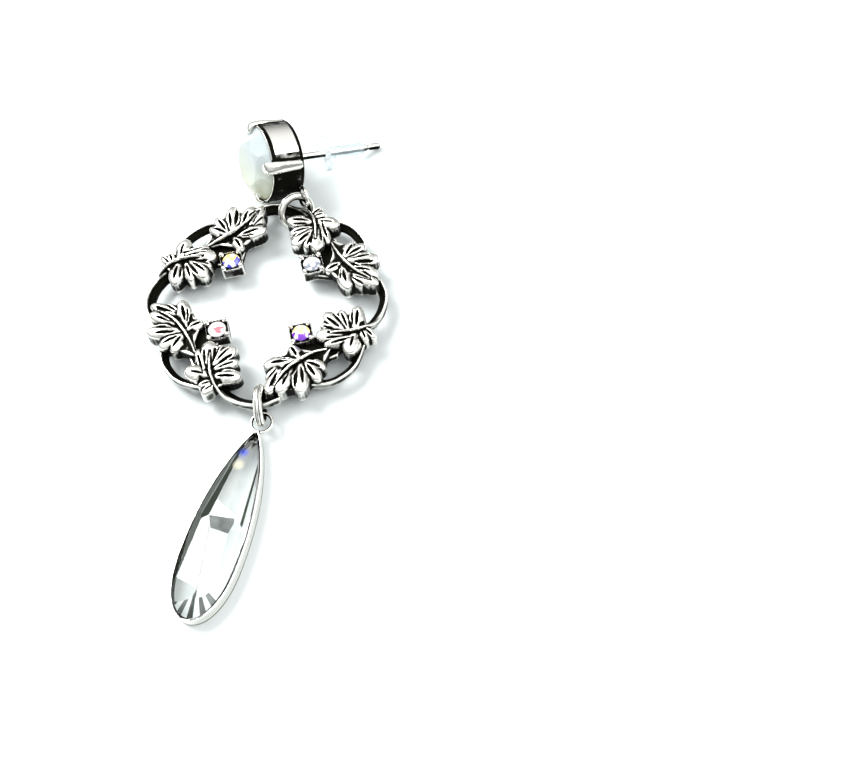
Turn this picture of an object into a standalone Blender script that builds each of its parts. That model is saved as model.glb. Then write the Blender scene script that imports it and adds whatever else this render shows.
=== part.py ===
"""A chandelier earring of antiqued silver metal, lying on a table as it would by itself.

A stud with a large round stone lies on its cup's edge and its post's tip. A jump ring through
the stud's loop holds a round wreath of leaves with four small stones, and a second ring holds
a long drop stone in a thin bezel. The model is in metres, +Z up, with the table at z = 0.
"""
import math

import bmesh
import bpy
from mathutils import Matrix, Vector

MM = 0.001

# Clearances between pieces, and what is shared by several of them
STONE_GAP = 0.1 * MM
STUD_BACK_GAP = 0.15 * MM
PRONG_GAP = 0.16 * MM
NUT_GAP = 0.1 * MM
WELD = 0.01 * MM
SMOOTH_ANGLE = math.radians(35)
CROWN_BREAK = 0.62

# Stud: a turned cup with a closed back, its post behind it
CUP_RADIUS = 4.4 * MM
CUP_DEPTH = 3.9 * MM
CUP_WALL = 0.2 * MM
CUP_BACK = 0.6 * MM
CUP_BACK_CHAMFER = 0.25 * MM
POST_LENGTH = 12.0 * MM
POST_RADIUS = 0.4 * MM
POST_TIP_CHAMFER = 0.15 * MM
POST_GROOVE_DEPTH = 0.1 * MM
POST_GROOVE_WIDTH = 0.3 * MM
POST_GROOVE_FROM_TIP = 1.5 * MM
STUD_SIDES = 28

# Round stone of the stud
STUD_TABLE_RADIUS = 2.2 * MM
STUD_CROWN = 1.5 * MM
STUD_GIRDLE = 0.2 * MM
STUD_GIRDLE_SINK = 0.35 * MM
STUD_STONE_SIDES = 16

# Prongs of the stud
PRONG_COUNT = 4
PRONG_WIDTH = 1.4 * MM
PRONG_PROUD = 0.32 * MM
PRONG_REACH = 0.7 * MM
PRONG_BEND = 0.2
PRONG_BEND_WIDTH = 0.95
PRONG_TIP_WIDTH = 0.7

# Loop soldered to the stud's back edge
LOOP_RADIUS = 1.1 * MM
LOOP_WIRE = 0.4 * MM
LOOP_SOLDER = 0.1 * MM

# Turn of the stud on the table, and of its loop about the stud's axis
STUD_PLAN_ANGLE = math.radians(24.1)
STUD_LOOP_HANG = math.radians(11.7)

# Clear ear nut on the post
NUT_FROM_CUP = 4.5 * MM
NUT_DISC_RADIUS = 2.1 * MM
NUT_DISC_THICKNESS = 0.6 * MM
NUT_BODY_RADIUS = 1.15 * MM
NUT_LENGTH = 5.1 * MM
NUT_SIDES = 16
NUT_DISC_EDGE = 0.96
NUT_DOME = 0.8
NUT_DOME_POINTS = ((0.75, 0.35), (0.2, 0.0))

# Jump rings
RING_RADIUS = 1.8 * MM
RING_WIRE = 0.9 * MM
RING_SIDES = 16
WIRE_SIDES = 6
DROP_LINK_X = -0.3 * MM
TOP_RING_AZIMUTH = math.radians(54.8)
TOP_RING_ROLL = math.radians(36.5)
TOP_RING_PAST_RIM = 0.18 * MM
TOP_RING_OVER_UNDERSIDE = 0.963 * MM

# Wreath: one casting of four equal quarters
WREATH_RADIUS = 12.75 * MM
WREATH_QUARTERS = 4
WREATH_UNDER_GAP = 0.4 * MM
RIM_WIDTH = 0.95 * MM
RIM_HEIGHT = 1.1 * MM
RIM_INNER_EDGE = 0.8
LEAF_HEIGHT = 2.1 * MM
LEAF_EDGE = 0.7
LEAF_GROOVE = 0.75
LEAF_GROOVE_END = 0.75
LEAF_POINTS = 60
LEAF_RINGS = (0.76, 0.38)
MIDRIB_PROUD = 0.12 * MM
PLATE_HEIGHT = 0.8 * MM
UNDERSIDE_STEP = 0.04 * MM

# Square cups and round stones on the wreath
SMALL_CUP_SIDE = 2.4 * MM
SMALL_CUP_HEIGHT = 1.75 * MM
SMALL_CUP_TURN = math.radians(10)
SMALL_PRONG_RADIUS = 0.24 * MM
SMALL_PRONG_RISE = 0.3 * MM
SMALL_PRONG_COUNT = 4
SMALL_PRONG_INSET = 0.8
SMALL_PRONG_TIP = 0.6
SMALL_STONE_RADIUS = 0.95 * MM
SMALL_STONE_TABLE = 0.55 * MM
SMALL_STONE_CROWN = 0.34 * MM
SMALL_STONE_GIRDLE = 0.08 * MM
SMALL_STONE_PAVILION = 0.75 * MM
SMALL_STONE_SIDES = 8
SMALL_STONE_SINK = 0.12 * MM

# Drop: a long stone in a thin bezel, open at its back
DROP_LENGTH = 20.2 * MM
DROP_WIDTH = 6.1 * MM
DROP_WIDEST = 0.65
DROP_NOSE_POWER = 0.765
DROP_END_POWER = 2.5
DROP_ANGLE = math.radians(72.2)
DROP_POINTS = 40
BEZEL_HEIGHT = 1.75 * MM
BEZEL_WALL = 0.3 * MM
BEZEL_LEDGE = 0.35 * MM
BEZEL_LEDGE_HEIGHT = 0.3 * MM
DROP_LOOP_RADIUS = 1.08 * MM
DROP_LOOP_WIRE = 0.36 * MM
DROP_LOOP_HEIGHT = 1.25 * MM
DROP_LOOP_SOLDER = 0.25 * MM
DROP_STONE_TOP = 2.7 * MM
DROP_STONE_GIRDLE = 0.25 * MM
DROP_STONE_BOTTOM = 0.35 * MM
DROP_STONE_POINTS = 20
DROP_TABLE_SHARE = 0.52
DROP_BELLY_SHARE = 0.9
DROP_BELLY_RISE = 0.25
DROP_KEEL_SHARE = 0.45
DROP_INSET_LENGTH = 3.2
DROP_INSET_NOSE = 2.2

# The rim's line, the ear and leaf B's midrib in one quarter: x and y as shares of the wreath's
# radius, the width as a share of the rim's width, and how far the top has climbed from the
# rim's height (0) to the midrib's height on the leaf (1)
RIM_STATIONS = (
    (-0.947, -0.124, 0.90, 0.00),
    (-0.997, 0.016, 1.00, 0.00),
    (-0.972, 0.148, 1.00, 0.00),
    (-0.906, 0.264, 0.95, 0.05),
    (-0.832, 0.346, 0.75, 0.50),
    (-0.758, 0.395, 0.45, 0.90),
    (-0.659, 0.420, 0.36, 1.00),
    (-0.536, 0.436, 0.22, 0.85),
)
EAR_STATIONS = (
    (-0.790, 0.510, 0.85, 0.00),
    (-0.758, 0.610, 0.88, 0.00),
    (-0.708, 0.708, 0.88, 0.00),
    (-0.626, 0.782, 0.88, 0.00),
    (-0.527, 0.820, 0.88, 0.00),
    (-0.410, 0.830, 0.85, 0.00),
)
VEIN_STATIONS = (
    (-0.650, 0.548, 0.24, 0.40),
    (-0.494, 0.585, 0.34, 0.80),
    (-0.371, 0.643, 0.38, 1.00),
    (-0.247, 0.725, 0.36, 1.00),
    (-0.156, 0.812, 0.30, 0.90),
    (-0.080, 0.905, 0.20, 0.60),
)
PLATE_OUTLINE = (
    (-0.640, 0.490),
    (-0.480, 0.420),
    (-0.350, 0.380),
    (-0.220, 0.420),
    (-0.200, 0.530),
    (-0.230, 0.640),
    (-0.400, 0.670),
    (-0.600, 0.600),
)
SMALL_CUP_PLACE = (-0.305, 0.395)
TOP_RING_PLACE = (0.255, 0.911)

# Leaf lobes: direction in degrees, reach as a share of the wreath's radius, half width in degrees
LEAF_A_CENTRE = (-0.700, 0.379)
LEAF_A_LOBES = (
    (5, 0.272, 34),
    (48, 0.215, 32),
    (95, 0.255, 36),
    (150, 0.222, 32),
    (-98, 0.240, 38),
    (-43, 0.300, 34),
)
LEAF_B_CENTRE = (-0.313, 0.692)
LEAF_B_LOBES = (
    (42, 0.382, 32),
    (80, 0.300, 28),
    (138, 0.226, 44),
    (-6, 0.335, 28),
    (-60, 0.160, 36),
    (-152, 0.285, 16),
)
LEAF_LEAST = 0.16

# Prong sections up the cup's side: inner and outer height as shares of the cup's depth, then
# how far it stands out and how wide it is, as shares of the prong's own sizes
PRONG_SECTIONS = (
    (0.10, 0.08, 0.15, 0.45),
    (0.50, 0.50, 0.70, 0.80),
    (0.95, 1.00, 1.00, 1.00),
)

# Materials: colour, roughness, metallic and transmission
MATERIALS = {
    "antiqued_silver": ((0.62, 0.61, 0.58), 0.28, 1.0, 0.0),
    "opal_glass": ((0.86, 0.90, 0.90), 0.08, 0.0, 0.35),
    "clear_crystal": ((0.95, 0.97, 0.98), 0.02, 0.0, 0.9),
    "coated_crystal": ((0.92, 0.86, 0.88), 0.05, 0.1, 0.4),
    "clear_silicone": ((0.90, 0.95, 0.96), 0.25, 0.0, 0.8),
}


def clear_scene():
    """Removes every object of the opened scene."""
    for existing in list(bpy.data.objects):
        bpy.data.objects.remove(existing, do_unlink=True)


def new_collection(name):
    """A collection of the scene."""
    collection = bpy.data.collections.new(name)
    bpy.context.scene.collection.children.link(collection)
    return collection


def new_material(name):
    """A Principled material from the table."""
    colour, roughness, metallic, transmission = MATERIALS[name]
    material = bpy.data.materials.new(name)
    material.use_nodes = True
    material.diffuse_color = (*colour, 1.0)
    shader = material.node_tree.nodes["Principled BSDF"]
    shader.inputs["Base Color"].default_value = (*colour, 1.0)
    shader.inputs["Roughness"].default_value = roughness
    shader.inputs["Metallic"].default_value = metallic
    shader.inputs["Transmission Weight"].default_value = transmission
    return material


def object_from(bm, name):
    """An object from a bmesh, with its faces turned out."""
    bmesh.ops.recalc_face_normals(bm, faces=bm.faces)
    mesh = bpy.data.meshes.new(name)
    bm.to_mesh(mesh)
    bm.free()
    made = bpy.data.objects.new(name, mesh)
    bpy.context.scene.collection.objects.link(made)
    return made


def loft(name, rings, start_point=None, end_point=None, ring_closed=False):
    """A solid through rings of equal count, capped by faces or points, or closed on itself."""
    bm = bmesh.new()
    rows = [[bm.verts.new(point) for point in ring] for ring in rings]
    count = len(rows[0])
    pairs = list(zip(rows, rows[1:]))
    if ring_closed:
        pairs.append((rows[-1], rows[0]))
    for lower, upper in pairs:
        for i in range(count):
            j = (i + 1) % count
            bm.faces.new((lower[i], lower[j], upper[j], upper[i]))
    if not ring_closed:
        for row, point in ((rows[0], start_point), (rows[-1], end_point)):
            if point is None:
                bm.faces.new(row)
                continue
            tip = bm.verts.new(point)
            for i in range(count):
                bm.faces.new((row[i], row[(i + 1) % count], tip))
    return object_from(bm, name)


def turned(name, profile, sides):
    """A solid of revolution about Z from a profile of radius and height, both ends on the axis."""
    bm = bmesh.new()
    points = [bm.verts.new((radius, 0.0, height)) for radius, height in profile]
    for first, second in zip(points, points[1:]):
        bm.edges.new((first, second))
    made = object_from(bm, name)
    screw = made.modifiers.new("turn", "SCREW")
    screw.angle = 2 * math.pi
    screw.steps = sides
    screw.render_steps = sides
    screw.use_merge_vertices = True
    screw.merge_threshold = WELD
    screw.use_normal_calculate = True
    return made


def wire_ring(name, radius, wire, sides=RING_SIDES):
    """A round wire bent to a closed ring in its own XY plane."""
    bpy.ops.mesh.primitive_torus_add(
        major_radius=radius,
        minor_radius=wire / 2,
        major_segments=sides,
        minor_segments=WIRE_SIDES,
    )
    made = bpy.context.active_object
    made.name = name
    return made


def baked(source):
    """The object's evaluated mesh in place of its modifiers and its own transform."""
    bpy.context.view_layer.update()
    graph = bpy.context.evaluated_depsgraph_get()
    mesh = bpy.data.meshes.new_from_object(source.evaluated_get(graph), depsgraph=graph)
    mesh.transform(source.matrix_world)
    name = source.name
    bpy.data.objects.remove(source, do_unlink=True)
    mesh.name = name
    made = bpy.data.objects.new(name, mesh)
    bpy.context.scene.collection.objects.link(made)
    return made


def combined(base, others, operation="UNION"):
    """One solid from the base and the others by exact booleans."""
    base = baked(base)
    for other in others:
        other = baked(other)
        step = base.modifiers.new("join", "BOOLEAN")
        step.operation = operation
        step.solver = "EXACT"
        step.object = other
        base = baked(base)
        bpy.data.objects.remove(other, do_unlink=True)
    return base


def finish(made, name, collection, material, smooth_angle=None):
    """Names the node, gives it its material and collection, and smooths what is round."""
    made.name = name
    made.data.name = name
    made.data.materials.clear()
    made.data.materials.append(material)
    for owner in list(made.users_collection):
        owner.objects.unlink(made)
    collection.objects.link(made)
    if smooth_angle is not None:
        made.data.shade_smooth()
        made.data.set_sharp_from_angle(angle=smooth_angle)
    return made


def lobed_radius(angle, lobes):
    """The leaf's reach at an angle, as a share, and how far it is from a lobe's middle."""
    reach = LEAF_LEAST
    astray = 1.0
    for direction, length, half_width in lobes:
        away = (angle - math.radians(direction) + math.pi) % (2 * math.pi) - math.pi
        across = abs(away) / math.radians(half_width)
        if across >= 1.0:
            continue
        share = math.sqrt(1.0 - across * across)
        if length * share > reach:
            reach = length * share
            astray = across
    return reach, astray


def leaf(name, centre, lobes):
    """A leaf with domed lobes, grooves between them and a flat underside."""
    middle = Vector(centre) * WREATH_RADIUS
    angles = [2 * math.pi * i / LEAF_POINTS for i in range(LEAF_POINTS)]
    reaches = [lobed_radius(angle, lobes) for angle in angles]

    def ring(share, height):
        points = []
        for angle, (reach, astray) in zip(angles, reaches):
            out = reach * share * WREATH_RADIUS
            dome = LEAF_EDGE + (1.0 - LEAF_EDGE) * (1.0 - share * share)
            groove = LEAF_GROOVE * share * min(astray, LEAF_GROOVE_END) ** 2
            top = LEAF_HEIGHT * dome * (1.0 - groove)
            z = top if height is None else height
            points.append((middle.x + out * math.cos(angle), middle.y + out * math.sin(angle), z))
        return points

    rings = [ring(1.0, 0.0), ring(1.0, None)]
    rings += [ring(share, None) for share in LEAF_RINGS]
    return loft(
        name,
        rings,
        start_point=(middle.x, middle.y, 0.0),
        end_point=(middle.x, middle.y, LEAF_HEIGHT),
    )


def band(name, stations, bottom, inner_edge):
    """A band swept along stations, its outer top edge higher than its inner one."""
    points = [Vector((x, y)) * WREATH_RADIUS for x, y, _, _ in stations]
    rings = []
    for i, (_, _, width, top) in enumerate(stations):
        before = points[max(i - 1, 0)]
        after = points[min(i + 1, len(points) - 1)]
        along = (after - before).normalized()
        outward = Vector((-along.y, along.x)) * (RIM_WIDTH * width / 2)
        outer = points[i] + outward
        inner = points[i] - outward
        height = RIM_HEIGHT + top * (LEAF_HEIGHT + MIDRIB_PROUD - RIM_HEIGHT)
        rings.append([
            (outer.x, outer.y, bottom),
            (outer.x, outer.y, height),
            (inner.x, inner.y, height * inner_edge),
            (inner.x, inner.y, bottom),
        ])
    return loft(name, rings)


def prism(name, outline, bottom, top):
    """A flat outline, in shares of the wreath's radius, with straight sides."""
    points = [Vector(point) * WREATH_RADIUS for point in outline]
    return loft(name, [[(p.x, p.y, z) for p in points] for z in (bottom, top)])


def small_cup_centre():
    """The first small cup's centre from the wreath's centre."""
    return Vector((*SMALL_CUP_PLACE, 0.0)) * WREATH_RADIUS


def small_cup():
    """A square cup with a round seat and a prong at each corner."""
    centre = small_cup_centre()
    bottom = 3 * UNDERSIDE_STEP
    bpy.ops.mesh.primitive_cube_add(size=1.0)
    block = bpy.context.active_object
    block.scale = (SMALL_CUP_SIDE, SMALL_CUP_SIDE, SMALL_CUP_HEIGHT - bottom)
    block.location = (centre.x, centre.y, (SMALL_CUP_HEIGHT + bottom) / 2)
    block.rotation_euler.z = SMALL_CUP_TURN
    prongs = []
    corner = SMALL_CUP_SIDE / 2 - SMALL_PRONG_RADIUS * SMALL_PRONG_INSET
    for i in range(SMALL_PRONG_COUNT):
        angle = SMALL_CUP_TURN + 2 * math.pi * (i + 0.5) / SMALL_PRONG_COUNT
        bpy.ops.mesh.primitive_cone_add(
            vertices=WIRE_SIDES,
            radius1=SMALL_PRONG_RADIUS,
            radius2=SMALL_PRONG_RADIUS * SMALL_PRONG_TIP,
            depth=2 * SMALL_PRONG_RISE,
            location=(
                centre.x + corner * math.sqrt(2) * math.cos(angle),
                centre.y + corner * math.sqrt(2) * math.sin(angle),
                SMALL_CUP_HEIGHT,
            ),
        )
        prongs.append(bpy.context.active_object)
    return combined(block, prongs)


def small_seat():
    """The round hole that a small stone sits in."""
    centre = small_cup_centre()
    depth = SMALL_STONE_SINK + SMALL_STONE_GIRDLE + SMALL_STONE_PAVILION + 2 * STONE_GAP
    bpy.ops.mesh.primitive_cylinder_add(
        vertices=RING_SIDES,
        radius=(SMALL_STONE_RADIUS + STONE_GAP) / math.cos(math.pi / RING_SIDES),
        depth=2 * depth,
        location=(centre.x, centre.y, SMALL_CUP_HEIGHT),
    )
    return bpy.context.active_object


def wreath_quarter():
    """One quarter of the wreath: rim, two leaves with midribs, ear, plate and square cup."""
    parts = [
        leaf("leaf_b", LEAF_B_CENTRE, LEAF_B_LOBES),
        band("rim", RIM_STATIONS, UNDERSIDE_STEP, RIM_INNER_EDGE),
        band("ear", EAR_STATIONS, 2 * UNDERSIDE_STEP, RIM_INNER_EDGE),
        prism("plate", PLATE_OUTLINE, 4 * UNDERSIDE_STEP, PLATE_HEIGHT),
        band("vein", VEIN_STATIONS, 5 * UNDERSIDE_STEP, 1.0),
        small_cup(),
    ]
    quarter = combined(leaf("leaf_a", LEAF_A_CENTRE, LEAF_A_LOBES), parts)
    return combined(quarter, [small_seat()], "DIFFERENCE")


def wreath(lift):
    """The whole casting, its underside at the lift above the table."""
    quarter = wreath_quarter()
    quarters = []
    for i in range(WREATH_QUARTERS):
        copy = bpy.data.objects.new("quarter", quarter.data.copy())
        bpy.context.scene.collection.objects.link(copy)
        copy.rotation_euler.z = -2 * math.pi * i / WREATH_QUARTERS
        quarters.append(copy)
    bpy.data.objects.remove(quarter, do_unlink=True)
    whole = combined(quarters[0], quarters[1:])
    whole.location.z = lift
    return baked(whole)


def round_stone(name, radius, table, crown, girdle, pavilion, sides):
    """A round cut stone, its girdle's lower edge at z = 0, with a table and pointed back."""
    step = 2 * math.pi / sides

    def ring(size, z, shift):
        return [
            (size * math.cos(step * (i + shift)), size * math.sin(step * (i + shift)), z)
            for i in range(sides)
        ]

    rings = [
        ring(radius, 0.0, 0.0),
        ring(radius, girdle, 0.0),
        ring((radius + table) / 2, girdle + crown * CROWN_BREAK, 0.5),
        ring(table, girdle + crown, 0.0),
    ]
    return loft(name, rings, start_point=(0.0, 0.0, -pavilion))


def stud_pavilion():
    """Depth of the stud stone's back, which ends over the cup's closed back."""
    girdle_bottom = CUP_DEPTH - STUD_GIRDLE_SINK
    return girdle_bottom - CUP_BACK - STUD_BACK_GAP


def stud_radius():
    """Radius of the stud's stone inside the cup's wall."""
    return CUP_RADIUS - CUP_WALL - STONE_GAP


def stud_body():
    """Cup and post as one turned solid about Z, the cup's back at z = 0."""
    seat = CUP_RADIUS - CUP_WALL
    shoulder = CUP_DEPTH - STUD_GIRDLE_SINK - STONE_GAP
    groove_top = -POST_LENGTH + POST_GROOVE_FROM_TIP + POST_GROOVE_WIDTH
    groove_foot = -POST_LENGTH + POST_GROOVE_FROM_TIP
    slope = POST_GROOVE_DEPTH
    profile = [
        (0.0, CUP_BACK),
        (seat, shoulder),
        (seat, CUP_DEPTH),
        (CUP_RADIUS, CUP_DEPTH),
        (CUP_RADIUS, CUP_BACK_CHAMFER),
        (CUP_RADIUS - CUP_BACK_CHAMFER, 0.0),
        (POST_RADIUS, 0.0),
        (POST_RADIUS, groove_top + slope),
        (POST_RADIUS - POST_GROOVE_DEPTH, groove_top),
        (POST_RADIUS - POST_GROOVE_DEPTH, groove_foot),
        (POST_RADIUS, groove_foot - slope),
        (POST_RADIUS, -POST_LENGTH + POST_TIP_CHAMFER),
        (POST_RADIUS - POST_TIP_CHAMFER, -POST_LENGTH),
        (0.0, -POST_LENGTH),
    ]
    return turned("stud_body", profile, STUD_SIDES)


def prong(angle):
    """A prong up the cup's side, bent over the stone's edge, as sections in radius and height."""
    girdle_top = CUP_DEPTH - STUD_GIRDLE_SINK + STUD_GIRDLE
    fall = STUD_CROWN / (stud_radius() - STUD_TABLE_RADIUS)
    inside = CUP_RADIUS - CUP_WALL / 2
    bend = PRONG_BEND * PRONG_PROUD
    reach = stud_radius() - PRONG_REACH
    over = girdle_top + fall * (stud_radius() - reach) + PRONG_GAP
    sections = []
    for near_z, far_z, proud, width in PRONG_SECTIONS:
        far = CUP_RADIUS + proud * PRONG_PROUD
        sections.append((inside, near_z * CUP_DEPTH, far, far_z * CUP_DEPTH, width))
    sections.append((inside - CUP_WALL, CUP_DEPTH + bend, inside + bend, over, PRONG_BEND_WIDTH))
    sections.append((reach, over, reach + bend, over + PRONG_PROUD, PRONG_TIP_WIDTH))
    turn = Matrix.Rotation(angle, 4, "Z")
    rings = []
    for near, near_z, far, far_z, width in sections:
        half = PRONG_WIDTH * width / 2
        corners = ((near, -half, near_z), (far, -half, far_z), (far, half, far_z), (near, half, near_z))
        rings.append([turn @ Vector(corner) for corner in corners])
    return loft("prong", rings)


def loop_distance():
    """Distance of the stud's loop from the cup's axis."""
    return CUP_RADIUS + LOOP_RADIUS - LOOP_SOLDER


def stud_setting():
    """Cup, post, prongs and loop, soldered to one solid."""
    loop = wire_ring("loop", LOOP_RADIUS, LOOP_WIRE)
    loop.location = (loop_distance(), 0.0, CUP_BACK_CHAMFER + LOOP_WIRE / 4)
    between = math.pi / PRONG_COUNT
    prongs = [prong(between + 2 * math.pi * i / PRONG_COUNT) for i in range(PRONG_COUNT)]
    return combined(stud_body(), [*prongs, loop])


def stud_stone():
    """The stud's stone in its cup."""
    stone = round_stone(
        "stud_stone",
        stud_radius(),
        STUD_TABLE_RADIUS,
        STUD_CROWN,
        STUD_GIRDLE,
        stud_pavilion(),
        STUD_STONE_SIDES,
    )
    stone.location.z = CUP_DEPTH - STUD_GIRDLE_SINK
    return baked(stone)


def ear_nut():
    """A clear nut about the post's axis: a disc towards the ear and a round body behind it."""
    bore = (POST_RADIUS + NUT_GAP) / math.cos(math.pi / NUT_SIDES)
    disc_end = -NUT_DISC_THICKNESS
    end = -NUT_LENGTH
    dome = NUT_BODY_RADIUS * NUT_DOME
    profile = [
        (bore, 0.0),
        (NUT_DISC_RADIUS * NUT_DISC_EDGE, 0.0),
        (NUT_DISC_RADIUS, disc_end / 2),
        (NUT_DISC_RADIUS * NUT_DISC_EDGE, disc_end),
        (NUT_BODY_RADIUS, disc_end),
        (NUT_BODY_RADIUS, end + dome),
    ]
    for out, up in NUT_DOME_POINTS:
        profile.append((bore + (NUT_BODY_RADIUS - bore) * out, end + dome * up))
    profile += [(bore, end), (bore, 0.0)]
    nut = baked(turned("ear_nut", profile, NUT_SIDES))
    welded = bmesh.new()
    welded.from_mesh(nut.data)
    bmesh.ops.remove_doubles(welded, verts=welded.verts, dist=WELD)
    bmesh.ops.recalc_face_normals(welded, faces=welded.faces)
    welded.to_mesh(nut.data)
    welded.free()
    return nut


def teardrop(length, width, count):
    """A long drop's outline from its nose at the origin along -Y, round again to the nose."""
    widest = DROP_WIDEST * length

    def half_width(along):
        if along <= widest:
            return width / 2 * math.sin(math.pi / 2 * (along / widest) ** DROP_NOSE_POWER)
        past = (along - widest) / (length - widest)
        return width / 2 * math.sqrt(max(0.0, 1.0 - past ** DROP_END_POWER))

    points = []
    for i in range(count):
        turn = 2 * math.pi * i / count
        along = length * (1.0 - math.cos(turn)) / 2
        side = 1.0 if turn <= math.pi else -1.0
        points.append((side * half_width(along), -along))
    return points


def drop_ring(inset, z, count=DROP_POINTS, size=1.0):
    """The drop's outline at a height, drawn in by an inset and scaled about its widest place."""
    length = DROP_LENGTH - DROP_INSET_LENGTH * inset
    width = DROP_WIDTH - 2 * inset
    nose = DROP_INSET_NOSE * inset
    middle = -DROP_WIDEST * DROP_LENGTH
    ring = []
    for x, y in teardrop(length, width, count):
        along = middle + (y - nose - middle) * size
        ring.append((x * size, along, z))
    return ring


def drop_bezel():
    """A thin wall round the drop with an inner ledge, and its flat loop at the nose."""
    ledge = BEZEL_WALL + BEZEL_LEDGE
    rings = [
        drop_ring(0.0, 0.0),
        drop_ring(0.0, BEZEL_HEIGHT),
        drop_ring(BEZEL_WALL, BEZEL_HEIGHT),
        drop_ring(BEZEL_WALL, BEZEL_LEDGE_HEIGHT),
        drop_ring(ledge, BEZEL_LEDGE_HEIGHT),
        drop_ring(ledge, 0.0),
    ]
    wall = loft("wall", rings, ring_closed=True)
    loop = wire_ring("drop_loop", DROP_LOOP_RADIUS, DROP_LOOP_WIRE)
    loop.location = (0.0, drop_loop_distance(), DROP_LOOP_HEIGHT)
    return combined(wall, [loop])


def drop_loop_distance():
    """Distance of the drop's loop centre before its nose."""
    return DROP_LOOP_RADIUS + DROP_LOOP_WIRE / 2 - DROP_LOOP_SOLDER


def drop_stone():
    """The long faceted stone: table, crown, girdle and a back cut to a narrow flat."""
    inset = BEZEL_WALL + STONE_GAP
    under = BEZEL_WALL + BEZEL_LEDGE + STONE_GAP
    girdle = BEZEL_HEIGHT - DROP_STONE_GIRDLE
    ledge = BEZEL_LEDGE_HEIGHT + STONE_GAP
    count = DROP_STONE_POINTS
    rings = [
        drop_ring(under, DROP_STONE_BOTTOM, count, DROP_KEEL_SHARE),
        drop_ring(under, ledge + DROP_BELLY_RISE * girdle, count, DROP_BELLY_SHARE),
        drop_ring(inset, girdle, count),
        drop_ring(inset, BEZEL_HEIGHT, count),
        drop_ring(inset, DROP_STONE_TOP, count, DROP_TABLE_SHARE),
    ]
    return loft("drop_stone", rings)


def place(made, frame):
    """Parents a node to a frame, at the frame's own place."""
    made.parent = frame
    return made


def new_frame(name, collection, location=(0.0, 0.0, 0.0), axes=None):
    """An empty with a place and, if given, its own axes as columns."""
    frame = bpy.data.objects.new(name, None)
    collection.objects.link(frame)
    frame.location = location
    if axes is not None:
        frame.rotation_euler = Matrix(axes).transposed().to_euler()
    return frame


def stud_axes():
    """The stud's lean: its cup's back edge and its post's tip both touch the table."""
    dip = math.atan((CUP_RADIUS - POST_RADIUS) / POST_LENGTH)
    along = Vector((
        math.cos(dip) * math.cos(STUD_PLAN_ANGLE),
        math.cos(dip) * math.sin(STUD_PLAN_ANGLE),
        -math.sin(dip),
    ))
    side = Vector((-math.sin(STUD_PLAN_ANGLE), math.cos(STUD_PLAN_ANGLE), 0.0))
    up = along.cross(side)
    to_loop = -math.cos(STUD_LOOP_HANG) * side - math.sin(STUD_LOOP_HANG) * up
    front = -along
    return dip, (to_loop, front.cross(to_loop), front)


def loop_offset(axes):
    """From the middle of the cup's back to the middle of the stud's loop."""
    to_loop, _, front = axes
    return to_loop * loop_distance() + front * (CUP_BACK_CHAMFER + LOOP_WIRE / 4)


def top_ring_place(lift, stud_height, axes):
    """Centre and axes of the ring round the rim, which rises just enough to reach the loop."""
    seat = Vector((*TOP_RING_PLACE, 0.0)) * WREATH_RADIUS
    centre = seat + Vector((0.0, TOP_RING_PAST_RIM, lift + TOP_RING_OVER_UNDERSIDE))
    loop_height = stud_height + loop_offset(axes).z
    rise = math.asin((loop_height - centre.z) / RING_RADIUS)
    towards = Vector((
        math.cos(rise) * math.cos(TOP_RING_AZIMUTH),
        math.cos(rise) * math.sin(TOP_RING_AZIMUTH),
        math.sin(rise),
    ))
    level = towards.cross(Vector((0.0, 0.0, 1.0))).normalized()
    upright = level.cross(towards)
    normal = math.cos(TOP_RING_ROLL) * level + math.sin(TOP_RING_ROLL) * upright
    return centre, (towards, normal.cross(towards), normal)


def drop_link_place(lift):
    """Centre of the ring that stands round the wreath's lowest rim, from the wreath's centre."""
    rim = WREATH_RADIUS + RIM_WIDTH / 2
    inner = RING_RADIUS - RING_WIRE / 2
    height = RING_RADIUS + RING_WIRE / 2
    drop = height - lift
    past = math.sqrt(inner * inner - drop * drop) - RIM_WIDTH - STONE_GAP
    return Vector((DROP_LINK_X, -(rim + past), height))


def drop_place(link_centre):
    """Where the drop's loop centre lies so that the link's wire goes through its hole."""
    below = link_centre.z - DROP_LOOP_HEIGHT
    out = math.sqrt(RING_RADIUS * RING_RADIUS - below * below)
    return Vector((link_centre.x, link_centre.y - out, 0.0))


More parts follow.
